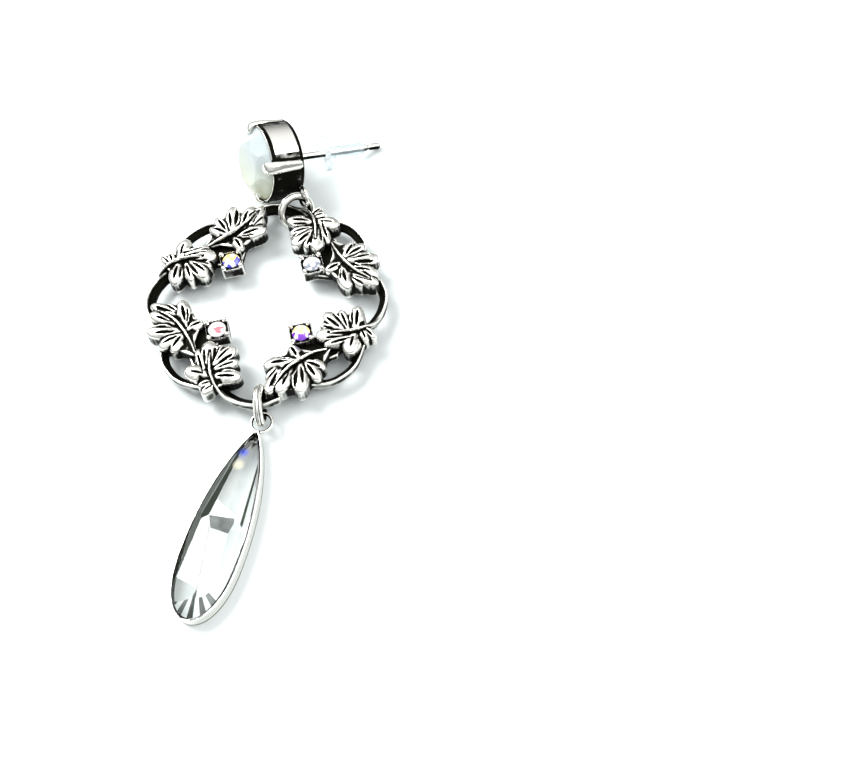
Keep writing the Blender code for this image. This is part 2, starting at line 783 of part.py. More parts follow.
def build():
    """Builds every node of the earring and centres the whole on the origin."""
    clear_scene()
    nodes = new_collection("chandelier_earring")
    silver = new_material("antiqued_silver")
    opal = new_material("opal_glass")
    crystal = new_material("clear_crystal")
    rainbow = new_material("coated_crystal")
    silicone = new_material("clear_silicone")

    lift = RING_WIRE + WREATH_UNDER_GAP
    root = new_frame("earring_frame", nodes)

    casting = finish(wreath(lift), "wreath", nodes, silver)
    place(casting, root)

    small_z = lift + SMALL_CUP_HEIGHT - SMALL_STONE_SINK - SMALL_STONE_GIRDLE
    first = small_cup_centre()
    for i in range(WREATH_QUARTERS):
        stone = round_stone(
            "rhinestone",
            SMALL_STONE_RADIUS,
            SMALL_STONE_TABLE,
            SMALL_STONE_CROWN,
            SMALL_STONE_GIRDLE,
            SMALL_STONE_PAVILION,
            SMALL_STONE_SIDES,
        )
        turn = Matrix.Rotation(-2 * math.pi * i / WREATH_QUARTERS, 3, "Z")
        stone.location = turn @ first + Vector((0.0, 0.0, small_z))
        place(finish(stone, "rhinestone_%d" % (i + 1), nodes, rainbow), root)

    dip, axes = stud_axes()
    centre, ring_axes = top_ring_place(lift, CUP_RADIUS * math.cos(dip), axes)
    top_frame = new_frame("top_ring_frame", nodes, centre, ring_axes)
    place(top_frame, root)
    ring = wire_ring("top_ring", RING_RADIUS, RING_WIRE)
    place(finish(ring, "top_ring", nodes, silver, SMOOTH_ANGLE), top_frame)

    stud_place = centre + RING_RADIUS * ring_axes[0] - loop_offset(axes)
    stud_frame = new_frame("stud_frame", nodes, stud_place, axes)
    place(stud_frame, root)
    place(finish(stud_setting(), "stud_setting", nodes, silver, SMOOTH_ANGLE), stud_frame)
    place(finish(stud_stone(), "stud_stone", nodes, opal), stud_frame)
    nut = place(finish(ear_nut(), "ear_nut", nodes, silicone, SMOOTH_ANGLE), stud_frame)
    nut.location.z = -NUT_FROM_CUP

    link_centre = drop_link_place(lift)
    link = finish(wire_ring("drop_link", RING_RADIUS, RING_WIRE), "drop_link", nodes, silver, SMOOTH_ANGLE)
    place(link, root)
    link.location = link_centre
    link.rotation_euler = (0.0, math.pi / 2, 0.0)

    loop_place = drop_place(link_centre)
    drop_frame = new_frame("drop_frame", nodes, loop_place)
    place(drop_frame, root)
    drop_frame.rotation_euler.z = DROP_ANGLE - math.pi / 2
    bezel = place(finish(drop_bezel(), "drop_bezel", nodes, silver), drop_frame)
    stone = place(finish(drop_stone(), "drop_stone", nodes, crystal), drop_frame)
    bezel.location.y = -drop_loop_distance()
    stone.location.y = -drop_loop_distance()

    centre_on_origin(root, nodes)


def centre_on_origin(root, nodes):
    """Moves the whole so that its box is centred on the origin and stands on z = 0."""
    bpy.context.view_layer.update()
    corners = []
    for made in nodes.objects:
        if made.type == "MESH":
            corners += [made.matrix_world @ vertex.co for vertex in made.data.vertices]
    low = [min(point[axis] for point in corners) for axis in range(3)]
    high = [max(point[axis] for point in corners) for axis in range(3)]
    root.location = (-(low[0] + high[0]) / 2, -(low[1] + high[1]) / 2, -low[2])
    bpy.context.view_layer.update()


build()
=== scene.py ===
"""Looks of a lying chandelier earring: antiqued silver, cut glass, soft studio light.

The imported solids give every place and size. Each piece here is modelled in the same frame, in
metres, with the surface that the earring lies on at z = 0.
"""
import math

import bmesh
import bpy
import numpy as np
from mathutils import Matrix, Vector


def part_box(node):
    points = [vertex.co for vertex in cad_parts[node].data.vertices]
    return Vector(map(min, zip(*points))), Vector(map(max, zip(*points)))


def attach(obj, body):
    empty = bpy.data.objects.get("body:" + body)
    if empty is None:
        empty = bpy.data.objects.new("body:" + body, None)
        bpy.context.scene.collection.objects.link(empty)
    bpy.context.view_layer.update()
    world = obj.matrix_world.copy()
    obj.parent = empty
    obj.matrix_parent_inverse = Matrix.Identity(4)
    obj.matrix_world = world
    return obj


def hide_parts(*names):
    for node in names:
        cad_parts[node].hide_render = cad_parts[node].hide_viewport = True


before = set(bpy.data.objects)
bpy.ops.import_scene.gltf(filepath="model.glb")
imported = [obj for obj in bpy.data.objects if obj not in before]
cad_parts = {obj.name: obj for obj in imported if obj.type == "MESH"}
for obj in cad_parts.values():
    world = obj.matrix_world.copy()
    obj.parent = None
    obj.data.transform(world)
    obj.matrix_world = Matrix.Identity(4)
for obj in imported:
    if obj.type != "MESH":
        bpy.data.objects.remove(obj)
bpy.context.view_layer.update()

MM = 0.001
ROOT = "earring"
MERGE = 0.001 * MM
RUN_STEPS = 8


def middle(name):
    """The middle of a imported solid's box."""
    low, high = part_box(name)
    return (Vector(low) + Vector(high)) / 2


# Wreath: its place on the table, and the squares that its leaves are drawn on
WREATH_PLACE = Vector((middle("wreath").x, middle("wreath").y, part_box("wreath")[0][2]))
SQUARE = 0.105 * MM
QUARTERS = 4
SMALL_CUP = (-37, 48)
SMALL_CUP_TURN = math.radians(10)
SMALL_STONE_RADIUS = 0.95 * MM
SMALL_STONE_LOW = -0.70 * MM
SMALL_STONE_HIGH = 0.40 * MM
SMALL_STONE_TURN = 0.3

# Camera: the photo's height above the table, its roll and its distance
VIEW_POINT = WREATH_PLACE + Vector((16.94, -10.90, -1.30)) * MM
VIEW_ELEVATION = math.radians(60.5)
VIEW_DISTANCE = 105.0 * MM
VIEW_ROLL = math.radians(3.8)
LENS = 42.0
SENSOR = 36.0

# Stud: the middle of its cup's back, its turn on the table and its loop's hang
STUD_BACK = Vector((2.58, 24.037, 4.174)) * MM
STUD_PLAN_ANGLE = math.radians(24.1)
STUD_LOOP_HANG = math.radians(11.7)
CUP_RADIUS = 4.4 * MM
STUD_STONE_RADIUS = 4.1 * MM
STUD_STONE_GIRDLE = 3.65 * MM
STUD_STONE_TOP = 5.25 * MM
STUD_STONE_POINT = 0.75 * MM
STONE_SIDES = 8
PRONG_COUNT = 4
LOOP_RADIUS = 1.1 * MM
LOOP_WIRE = 0.4 * MM
POST_LENGTH = 12.0 * MM
POST_RADIUS = 0.4 * MM
NUT_FROM_CUP = 4.5 * MM

# Jump rings: their size, and the turn of the one that holds the stud
RING_RADIUS = 1.8 * MM
RING_WIRE = 0.9 * MM
TOP_RING_AZIMUTH = math.radians(54.8)
TOP_RING_ROLL = math.radians(36.5)
TOP_RING_RISE = math.radians(33.1)

# Drop: its turn on the table, its outline and its bezel
DROP_TURN = math.radians(72.2 - 90.0)
DROP_LENGTH = 20.2 * MM
DROP_WIDTH = 6.1 * MM
DROP_WIDEST = 0.65
DROP_NOSE_POWER = 0.765
DROP_END_POWER = 2.5
# How much an inset takes off the drop's length, and off its nose alone
LENGTH_SHARE = 3.2
NOSE_SHARE = 2.2
BEZEL_POINTS = 96
DROP_STONE_POINTS = 64
DROP_LOOP_HEIGHT = 1.25 * MM
DROP_LOOP_RADIUS = 1.08 * MM
DROP_LOOP_WIRE = 0.36 * MM
DROP_NOSE = -1.01 * MM
BEZEL_HEIGHT = 1.75 * MM
BEZEL_WALL = 0.15 * MM
BEZEL_LEDGE = 0.40 * MM
BEZEL_LEDGE_HEIGHT = 0.3 * MM
DROP_STONE_TOP = 2.7 * MM
DROP_STONE_INSET = 0.27 * MM
DROP_STONE_BOTTOM = 0.35 * MM

# Lobes of the two leaves: base, tip and width in squares, then the crest's height in mm
LEAF_A_LOBES = (
    (-88, 57, -60, 66, 11, 2.05),
    (-80, 54, -52, 54, 18, 2.15),
    (-91, 55, -84, 78, 17, 2.15),
    (-98, 50, -103, 64, 9, 1.90),
    (-102, 48, -112, 60, 9, 1.85),
    (-92, 48, -95, 21, 16, 2.00),
    (-84, 48, -77, 24, 12, 1.95),
    (-80, 50, -61, 27, 16, 2.10),
    (-73, 51, -57, 40, 11, 2.00),
)
LEAF_B_LOBES = (
    (-44, 82, -62, 92, 12, 1.95),
    (-42, 84, -56, 105, 14, 2.05),
    (-37, 85, -37, 119, 17, 2.15),
    (-27, 88, -15, 117, 16, 2.15),
    (-19, 87, -4, 117, 14, 2.10),
    (-18, 86, -3, 101, 10, 2.00),
    (-28, 80, 0, 86, 16, 2.10),
    (-35, 77, -26, 62, 12, 1.85),
)
# Veins cut into the lobes: start, end and width in squares, then the height in mm
VEINS = (
    (-88, 59, -67, 65, 2.6, 2.05),
    (-80, 57, -62, 59, 2.6, 2.15),
    (-78, 49, -60, 47.5, 2.8, 2.10),
    (-90, 58, -87, 71, 2.4, 2.15),
    (-99, 52, -102, 61, 2.2, 1.90),
    (-103, 50, -109, 58, 2.2, 1.85),
    (-93, 46, -95, 27, 3.2, 2.00),
    (-89, 45, -89, 27, 2.4, 2.00),
    (-84, 46, -78, 28, 2.4, 1.95),
    (-81, 46, -70, 30, 3.2, 2.10),
    (-77, 47, -63, 34, 3.0, 2.10),
    (-73, 49, -59, 43, 2.4, 2.00),
    (-44, 84, -57, 91, 3.0, 1.95),
    (-43, 86, -52, 101, 3.4, 2.10),
    (-38, 87, -40, 109, 3.2, 2.15),
    (-33, 89, -32, 113, 4.2, 2.15),
    (-27, 91, -20, 110, 3.0, 2.15),
    (-15, 93, -7, 112, 2.8, 2.10),
    (-13, 91, -4, 102, 2.4, 2.05),
    (-27, 80, -8, 84, 3.4, 2.10),
    (-30, 78, -12, 78, 2.2, 2.05),
    (-33, 75, -27, 64, 3.0, 1.85),
)
# Runs along the casting: x and y in squares, height in mm, and size as a share
RIM_RUN = (
    (-115, -15, 0.0, 0.95),
    (-121, 2, 0.0, 1.00),
    (-119, 18, 0.0, 1.00),
    (-112, 32, 0.0, 1.00),
    (-103, 41, 0.0, 0.95),
    (-94, 46, 0.0, 0.80),
)
EAR_RUN = (
    (-97, 62, 0.0, 0.88),
    (-93, 74, 0.0, 0.88),
    (-87, 86, 0.0, 0.88),
    (-77, 95, 0.0, 0.88),
    (-65, 101, 0.0, 0.88),
    (-46, 102, 0.0, 0.88),
)
MIDRIB_A_RUN = (
    (-120, 26, 0.85, 0.80),
    (-115, 36, 1.05, 0.95),
    (-108, 43.5, 1.50, 1.00),
    (-100, 48, 1.90, 1.00),
    (-91, 51, 2.10, 0.95),
    (-80, 52.5, 2.15, 0.80),
    (-72, 52.6, 2.10, 0.65),
    (-64, 52.4, 1.90, 0.35),
)
MIDRIB_B_RUN = (
    (-70, 67, 1.20, 0.60),
    (-60, 70, 1.60, 0.85),
    (-50, 74, 1.95, 1.00),
    (-40, 79.5, 2.10, 1.00),
    (-30, 86.5, 2.20, 0.95),
    (-22, 94, 2.15, 0.80),
    (-15, 103.5, 2.05, 0.65),
    (-11, 110, 1.85, 0.40),
)
CHANNEL_A_RUN = (
    (-100, 48, 2.00, 0.80),
    (-91, 51, 2.20, 1.00),
    (-80, 52.5, 2.30, 0.90),
    (-72, 52.6, 2.30, 0.75),
    (-64, 52.4, 2.20, 0.40),
)
CHANNEL_B_RUN = (
    (-60, 70, 2.00, 0.80),
    (-50, 74, 2.15, 1.00),
    (-40, 79.5, 2.25, 1.15),
    (-30, 86.5, 2.35, 1.10),
    (-22, 94, 2.30, 0.95),
    (-15, 103.5, 2.25, 0.80),
    (-11, 110, 2.10, 0.45),
)
LEAF_A_FLOOR = (
    (-104, 44), (-108, 56), (-98, 60), (-92, 70), (-80, 70), (-76, 64),
    (-60, 62), (-55, 52), (-60, 42), (-66, 30), (-84, 34), (-98, 30),
)
LEAF_B_FLOOR = (
    (-68, 66), (-58, 88), (-54, 96), (-44, 104), (-30, 112), (-10, 112),
    (-7, 92), (-10, 80), (-24, 68), (-34, 66), (-50, 70),
)
STEM_PLATE = (
    (-78, 60), (-58, 51), (-42, 46), (-27, 51), (-24, 64), (-28, 78), (-48, 81), (-73, 73),
)
# Sections across the runs, in mm: across to the inner side, and up
RIM_SECTION = (
    (-0.475, 0.0), (0.475, 0.0), (0.475, 0.45), (0.0, 0.72),
    (-0.2, 0.98), (-0.3, 1.1), (-0.42, 1.1), (-0.475, 0.98),
)
MIDRIB_SECTION = (
    (-0.12, -0.62), (0.12, -0.62), (0.13, 0.0), (0.09, 0.12),
    (0.0, 0.17), (-0.09, 0.12), (-0.13, 0.0),
)

# Facets of the drop's stone: the line that each one starts from, as two points in mm, how
# steeply it falls away outwards in degrees, below zero on the back, and how dark a painted
# reflection of the room it is given
DROP_FACETS = (
    ("upper table", (-1.0, -11.6, 2.70), (1.0, -11.6, 2.70), 3.0, 0.13),
    ("lower table", (-1.0, -12.0, 2.70), (1.0, -12.0, 2.70), 3.5, 0.05),
    ("table break", (-1.0, -11.2, 2.680), (1.0, -12.5, 2.665), 0.0, 0.52),
    ("upper left inner", (-0.60, -4.7, 2.34), (-1.20, -11.3, 2.68), 20.0, 0.97),
    ("upper left line", (-1.03, -4.85, 2.203), (-1.83, -10.5, 2.401), 27.0, 0.30),
    ("upper left outer", (-1.10, -4.85, 2.19), (-1.90, -10.5, 2.40), 34.0, 0.95),
    ("upper right inner", (0.85, -3.05, 2.25), (1.37, -11.3, 2.68), 14.0, 0.06),
    ("upper right line", (1.30, -2.9, 2.13), (2.06, -10.9, 2.47), 22.0, 0.97),
    ("upper right outer", (1.43, -2.9, 2.08), (2.20, -10.9, 2.42), 30.0, 0.00),
    ("lower left line", (-0.68, -12.1, 2.687), (-0.04, -16.1, 2.447), 8.0, 0.85),
    ("lower left inner", (-0.76, -12.1, 2.69), (-0.12, -16.1, 2.45), 14.0, 0.16),
    ("lower left outer", (-1.86, -11.7, 2.47), (-2.07, -14.7, 2.13), 36.0, 0.92),
    ("lower right inner", (1.37, -11.5, 2.68), (1.60, -17.0, 2.39), 14.0, 0.12),
    ("lower right outer", (2.25, -11.8, 2.44), (2.30, -16.5, 2.24), 28.0, 0.06),
    ("nose", (-0.5, -2.4, 2.0), (0.5, -2.4, 2.0), 35.0, 0.15),
    ("back upper left", (-1.3, -3.5, 1.45), (-2.75, -11.0, 1.45), -17.0, 0.06),
    ("back upper right", (1.3, -3.5, 1.45), (2.75, -11.0, 1.45), -17.0, 0.00),
    ("back left", (-2.85, -12.0, 1.45), (-2.70, -17.0, 1.45), -17.0, 0.03),
    ("back right", (2.85, -12.0, 1.45), (2.70, -17.0, 1.45), -17.0, 0.05),
    ("back left end", (-2.6, -17.5, 1.45), (-1.2, -20.3, 1.45), -16.0, 0.03),
    ("back right end", (2.6, -17.5, 1.45), (1.2, -20.3, 1.45), -16.0, 0.00),
    ("back end", (-1.0, -20.7, 1.45), (1.0, -20.7, 1.45), -18.0, 0.05),
)
DROP_MIDDLE = Vector((0.0, -11.8, 0.0))
# Small facets round the wide end: direction in degrees and the darkness of the painted
# reflection that each is given, for the star by the table and for the ring outside it
END_MIDDLE = Vector((0.1, -17.6, 0.0))
END_STAR = ((236, 0.55), (254, 0.03), (272, 0.70), (290, 0.05), (316, 0.08))
END_RING = (
    (212, 0.50), (223, 0.03), (233, 0.80), (243, 0.00), (253, 0.70), (263, 0.05),
    (273, 0.85), (284, 0.00), (296, 0.60), (309, 0.05), (322, 0.50), (338, 0.03),
)
# How far out and how high a fan's facets start in mm, and how steeply they fall in degrees
END_STAR_CUT = (0.45, 2.35, 9.0)
END_RING_CUT = (1.55, 2.16, 19.0)

# Turned pieces: radius and height in mm
CUP_PROFILE = (
    (4.10, 0.0), (4.32, 0.06), (4.40, 0.25), (4.40, 3.82),
    (4.32, 3.90), (4.20, 3.90), (4.20, 3.45), (1.00, 0.80),
)
POST_PROFILE = (
    (0.20, -12.0), (0.40, -11.8), (0.40, -10.6), (0.28, -10.5),
    (0.28, -10.2), (0.40, -10.1), (0.40, 0.2),
)
NUT_PROFILE = (
    (0.50, 0.0), (1.98, 0.0), (2.10, -0.15), (2.10, -0.45), (1.98, -0.60), (1.20, -0.62),
    (1.15, -0.75), (1.15, -4.2), (1.02, -4.7), (0.78, -5.0), (0.50, -5.1), (0.50, 0.0),
)
# A prong before it stands up: along the cup, aside, away from its middle, and size as a share
PRONG_RUN = (
    (0.30, 0.0, 4.36, 0.55),
    (2.00, 0.0, 4.40, 0.85),
    (3.60, 0.0, 4.44, 1.00),
    (4.25, 0.0, 4.26, 0.98),
    (4.52, 0.0, 3.90, 0.90),
    (4.60, 0.0, 3.45, 0.72),
)
PRONG_SECTION = (
    (-0.70, -0.12), (0.70, -0.12), (0.68, 0.10), (0.50, 0.24),
    (0.20, 0.30), (-0.20, 0.30), (-0.50, 0.24), (-0.68, 0.10),
)

# Squares that joined shapes are melted into, and rounds that level a surface for its relief
CUTTER_SQUARE = 0.05 * MM
SMALL_CUP_SQUARE = 0.055 * MM
CASTING_SQUARE = 0.07 * MM
LEAF_SQUARE = 0.08 * MM
STUD_SQUARE = 0.08 * MM
RELIEF_ROUNDS = 12
SMALL_CUP_ROUNDS = 14

# Tarnish, and painted shade with some patina, as relief in mm that each takes away
WREATH_LOW_TARNISH = 0.014
WREATH_RIM_TARNISH = 0.045
# Painted shade with some patina on the cup's front edge by the stone and on its back chamfer
CUP_EDGE_SHADE_AND_PATINA = 0.09
# Painted shade on the cup's flat back
CUP_BACK_SHADE = 0.018
# Painted shade with some patina on the cup's side by its loop, turned towards the table
CUP_LOOP_SIDE_SHADE_AND_PATINA = 0.036
# Painted shade with some patina at each prong's foot, and a painted shadow on the cup beside it
PRONG_FOOT_SHADE_AND_PATINA = 0.045
PRONG_SHADOW = 0.029
# Painted shade along one side of the post, darker at both ends
POST_END_SHADE = 0.13
POST_MIDDLE_SHADE = 0.06
# Painted shade inside the loops and jump rings
LOOP_INSIDE_SHADE = 0.12
# Painted shade on the bezel's inner wall next to the stone
BEZEL_INSIDE_SHADE = 0.15
SEAM_TARNISH = 0.09

# Colours
SILVER_BRIGHT = (0.94, 0.93, 0.88, 1.0)
SILVER_DARK = (0.005, 0.005, 0.0035, 1.0)
BRIGHT_ROUGHNESS = 0.2
DARK_ROUGHNESS = 0.5
SHADOW_LET_BY = 0.85
SILICONE_COLOUR = (0.82, 0.89, 0.91, 1.0)
CRYSTAL_BRIGHT = (0.98, 1.0, 0.99, 1.0)
CRYSTAL_DARK = (0.002, 0.003, 0.0015, 1.0)
NO_GLOW = (0.0, 0.0, 0.0, 1.0)
# The long stone's painted flashes, which glow: place and size in mm, and colour
PAINTED_FLASHES = (
    ((-0.30, -5.4, 2.4), 0.7, (1.0, 0.88, 0.60, 1.0)),
    ((-0.25, -4.0, 2.3), 0.62, (0.004, 0.04, 0.85, 1.0)),
)
# The milky stone from the table up
OPAL_TONES = (
    (0.0, (0.52, 0.51, 0.32, 1.0)),
    (0.45, (0.56, 0.60, 0.52, 1.0)),
    (1.0, (0.52, 0.58, 0.60, 1.0)),
)
# The small stones' colours as two tints of painted flashes, the one farther from the camera first
RHINESTONE_TINTS = (
    ((1.0, 0.78, 0.20, 1.0), (0.06, 0.06, 0.60, 1.0)),
    ((0.80, 0.84, 0.88, 1.0), (0.30, 0.33, 0.40, 1.0)),
    ((1.0, 0.88, 0.35, 1.0), (0.22, 0.05, 0.62, 1.0)),
    ((0.96, 0.82, 0.82, 1.0), (0.80, 0.16, 0.20, 1.0)),
)
# Painted pale glints on the small stones
PAINTED_PALE_GLINT = (0.82, 0.82, 0.84, 1.0)
PAPER_TONES = ((0.585, 0.625, 0.625, 1.0), (0.615, 0.655, 0.655, 1.0))

# Light: the room from the horizon up, then each soft box's name, place, size in m and power in W
ROOM_TONES = (
    (0.10, (0.06, 0.065, 0.06, 1.0)),
    (0.70, (1.0, 1.0, 1.0, 1.0)),
)
SOFT_BOXES = (
    ("key", (-0.16, 0.12, 0.26), 0.16, 1.4),
    ("fill", (0.18, -0.05, 0.22), 0.20, 0.5),
)
EXPOSURE = 0.1


def deselect():
    """Leaves edit mode and selects nothing."""
    if bpy.context.mode != "OBJECT":
        bpy.ops.object.mode_set(mode="OBJECT")
    bpy.ops.object.select_all(action="DESELECT")


def only(piece):
    """Selects one piece and makes it active."""
    deselect()
    piece.select_set(True)
    bpy.context.view_layer.objects.active = piece


def edit(piece):
    """Opens a piece in edit mode with all of it selected."""
    only(piece)
    bpy.ops.object.mode_set(mode="EDIT")
    bpy.ops.mesh.select_mode(type="VERT")
    bpy.ops.mesh.select_all(action="SELECT")


def close():
    """Leaves edit mode."""
    bpy.ops.object.mode_set(mode="OBJECT")


def added(name, primitive, **settings):
    """A primitive at its size, with nothing else selected."""
    deselect()
    primitive(**settings)
    piece = bpy.context.active_object
    piece.name = name
    return piece


def listed(name, data):
    """A new object in the scene."""
    thing = bpy.data.objects.new(name, data)
    bpy.context.scene.collection.objects.link(thing)
    return thing


def extrude(height):
    """Draws the selected face up by a height, or down below zero."""
    bpy.ops.mesh.extrude_region_move(TRANSFORM_OT_translate={"value": (0, 0, height)})


def close_outwards():
    """Turns all faces outwards and leaves edit mode."""
    bpy.ops.mesh.select_all(action="SELECT")
    bpy.ops.mesh.normals_make_consistent(inside=False)
    close()


def pick_points(piece, wanted):
    """Selects the points whose place the test wants."""
    bpy.ops.mesh.select_mode(type="VERT")
    bpy.ops.mesh.select_all(action="DESELECT")
    mesh = bmesh.from_edit_mesh(piece.data)
    for point in mesh.verts:
        point.select = wanted(point.co)
    mesh.select_flush(True)
    bmesh.update_edit_mesh(piece.data)


def pick_faces(piece, wanted):
    """Selects the faces that the test wants."""
    bpy.ops.mesh.select_mode(type="FACE")
    bpy.ops.mesh.select_all(action="DESELECT")
    mesh = bmesh.from_edit_mesh(piece.data)
    mesh.normal_update()
    for face in mesh.faces:
        face.select = wanted(face)
    bmesh.update_edit_mesh(piece.data)


def turn(angle, axis="Z"):
    """Turns the selection by the right-hand rule about the origin."""
    bpy.ops.transform.rotate(value=-angle, orient_axis=axis, center_override=(0, 0, 0))


def shift(x=0.0, y=0.0, z=0.0):
    """Moves the selection."""
    bpy.ops.transform.translate(value=(x, y, z))


def stretch(x=1.0, y=1.0, z=1.0, centre=(0, 0, 0)):
    """Scales the selection about a centre."""
    bpy.ops.transform.resize(value=(x, y, z), center_override=centre)


def join(pieces, name):
    """One object from several."""
    deselect()
    for piece in pieces:
        piece.select_set(True)
    bpy.context.view_layer.objects.active = pieces[0]
    bpy.ops.object.join()
    joined = bpy.context.active_object
    joined.name = name
    return joined


def apply_modifier(piece, kind, **settings):
    """Adds a modifier and applies it."""
    step = piece.modifiers.new("step", kind)
    for name, value in settings.items():
        setattr(step, name, value)
    only(piece)
    bpy.ops.object.modifier_apply(modifier=step.name)


def fuse(piece, size):
    """Melts overlapping closed shapes into one skin of small squares."""
    apply_modifier(piece, "REMESH", mode="VOXEL", voxel_size=size)


def melt(piece, size, rounds=1):
    """Melts overlapping closed shapes into one skin and smooths it over."""
    fuse(piece, size)
    apply_modifier(piece, "SMOOTH", factor=0.5, iterations=rounds)
    return smooth(piece)


def put(piece, place):
    """Moves a piece by a matrix and applies it, so that the object stays at the origin."""
    piece.matrix_world = place
    only(piece)
    bpy.ops.object.transform_apply(location=True, rotation=True, scale=True)


def smooth(piece, angle=None):
    """Shades a piece smooth, with sharp edges kept past an angle."""
    only(piece)
    if angle is None:
        bpy.ops.object.shade_smooth()
    else:
        bpy.ops.object.shade_smooth_by_angle(angle=angle)
    return piece


def swept(name, run, section, unit=1.0, closed=False):
    """A closed tube with a section in mm along a run of x, y, height and size."""
    route = bpy.data.curves.new(name, "CURVE")
    route.dimensions = "3D"
    spline = route.splines.new("BEZIER")
    spline.bezier_points.add(len(run) - 1)
    for (x, y, height, size), point in zip(run, spline.bezier_points):
        point.co = (x * unit, y * unit, height * MM)
        point.handle_left_type = "AUTO"
        point.handle_right_type = "AUTO"
        point.radius = size
    spline.use_cyclic_u = closed
    route.resolution_u = RUN_STEPS
    route.twist_mode = "Z_UP"
    outline = bpy.data.curves.new(name + "_section", "CURVE")
    outline.dimensions = "2D"
    edge = outline.splines.new("POLY")
    edge.points.add(len(section) - 1)
    for (across, up), point in zip(section, edge.points):
        point.co = (across * MM, up * MM, 0.0, 1.0)
    edge.use_cyclic_u = True
    outline_object = listed(name + "_section", outline)
    route.bevel_mode = "OBJECT"
    route.bevel_object = outline_object
    route.use_fill_caps = True
    only(listed(name, route))
    bpy.ops.object.convert(target="MESH")
    piece = bpy.context.active_object
    bpy.data.objects.remove(outline_object)
    edit(piece)
    bpy.ops.mesh.remove_doubles(threshold=MERGE)
    close_outwards()
    return piece


def round_section(across, up, sides):
    """An oval section in mm."""
    step = 2 * math.pi / sides
    return [(across * math.cos(step * i), up * math.sin(step * i)) for i in range(sides)]


def lathed(name, profile, sides, bored=False):
    """A round piece about Z: a disc drawn along and resized at each radius and height in mm."""
    radius, height = profile[0]
    disc = bpy.ops.mesh.primitive_circle_add
    piece = added(name, disc, vertices=sides, radius=radius * MM, fill_type="NGON")
    edit(piece)
    shift(z=height * MM)
    for next_radius, next_height in profile[1:]:
        extrude((next_height - height) * MM)
        stretch(next_radius / radius, next_radius / radius)
        radius, height = next_radius, next_height
    if bored:
        open_through(piece)
    close_outwards()
    return piece


def open_through(piece):
    """Opens a hole between the two many-sided ends and joins their edges."""
    pick_faces(piece, lambda face: len(face.verts) > 4)
    bpy.ops.mesh.delete(type="ONLY_FACE")
    bpy.ops.mesh.select_mode(type="EDGE")
    bpy.ops.mesh.select_all(action="DESELECT")
    bpy.ops.mesh.select_non_manifold()
    bpy.ops.mesh.bridge_edge_loops()


def wire_loop(name, radius, wire, place):
    """A closed loop of round wire."""
    return added(
        name,
        bpy.ops.mesh.primitive_torus_add,
        major_radius=radius,
        minor_radius=wire / 2,
        major_segments=48,
        minor_segments=14,
        location=place,
    )


def facet(place, normal):
    """Cuts one flat facet on the open piece and closes it."""
    bpy.ops.mesh.select_all(action="SELECT")
    bpy.ops.mesh.bisect(
        plane_co=place, plane_no=normal, use_fill=True, clear_outer=True, threshold=MERGE,
    )


def join_flat_faces():
    """Makes each facet of the open stone one face, and closes it."""
    bpy.ops.mesh.select_all(action="SELECT")
    bpy.ops.mesh.dissolve_limited(angle_limit=0.01)
    close_outwards()


def facet_ring(count, first, radius, height, slope):
    """Cuts a ring of equal facets; the slope is from level, and below zero on the back."""
    side = 1 if slope > 0 else -1
    for i in range(count):
        angle = first + 2 * math.pi * i / count
        out = Vector((math.cos(angle), math.sin(angle), 0.0))
        normal = out * math.sin(abs(slope)) + Vector((0.0, 0.0, side * math.cos(slope)))
        facet(out * radius + Vector((0.0, 0.0, height)), normal)


def outline_piece(name, outline, bottom, top):
    """A straight-sided piece over an outline, left open in edit mode."""
    disc = bpy.ops.mesh.primitive_circle_add
    piece = added(name, disc, vertices=len(outline), radius=1, fill_type="NGON")
    for point, (x, y) in zip(piece.data.vertices, outline):
        point.co = (x, y, bottom)
    edit(piece)
    extrude(top - bottom)
    return piece


def flat_piece(name, outline, height):
    """A flat piece with straight walls from an outline in squares, its underside at z = 0."""
    piece = outline_piece(name, [(x * SQUARE, y * SQUARE) for x, y in outline], 0.0, height)
    close_outwards()
    return piece


def drawn_line(start, end, root):
    """The line between two places in squares, begun earlier by a root, and its middle."""
    start = Vector((*start, 0.0)) * SQUARE
    end = Vector((*end, 0.0)) * SQUARE
    start -= (end - start).normalized() * root
    return end - start, (start + end) / 2


def lobe(base_x, base_y, tip_x, tip_y, width, crest):
    """One lobe: half a ball drawn out, narrow at its base, with walls down to the underside."""
    rise = 0.55 * MM
    droop = math.radians(6)
    narrow = 0.58
    root = 0.62 * MM
    fuller = 1.12
    along, halfway = drawn_line((base_x, base_y), (tip_x, tip_y), root)
    wall = crest * MM - rise
    ball = bpy.ops.mesh.primitive_uv_sphere_add
    piece = added("lobe", ball, segments=20, ring_count=12, radius=1.0)
    edit(piece)
    bpy.ops.mesh.bisect(
        plane_co=(0, 0, 0), plane_no=(0, 0, 1), use_fill=True, clear_inner=True, threshold=MERGE,
    )
    for limit in (-0.05, -0.6):
        pick_points(piece, lambda place: place.x < limit)
        stretch(y=narrow)
    bpy.ops.mesh.select_all(action="SELECT")
    stretch(along.length / 2, fuller * width * SQUARE / 2, rise)
    turn(-droop, "Y")
    pick_faces(piece, lambda face: len(face.verts) > 4)
    extrude(-crest * MM)
    stretch(z=0.0, centre=(0, 0, -wall))
    bpy.ops.mesh.select_all(action="SELECT")
    turn(math.atan2(along.y, along.x))
    shift(halfway.x, halfway.y, wall)
    close()
    return piece


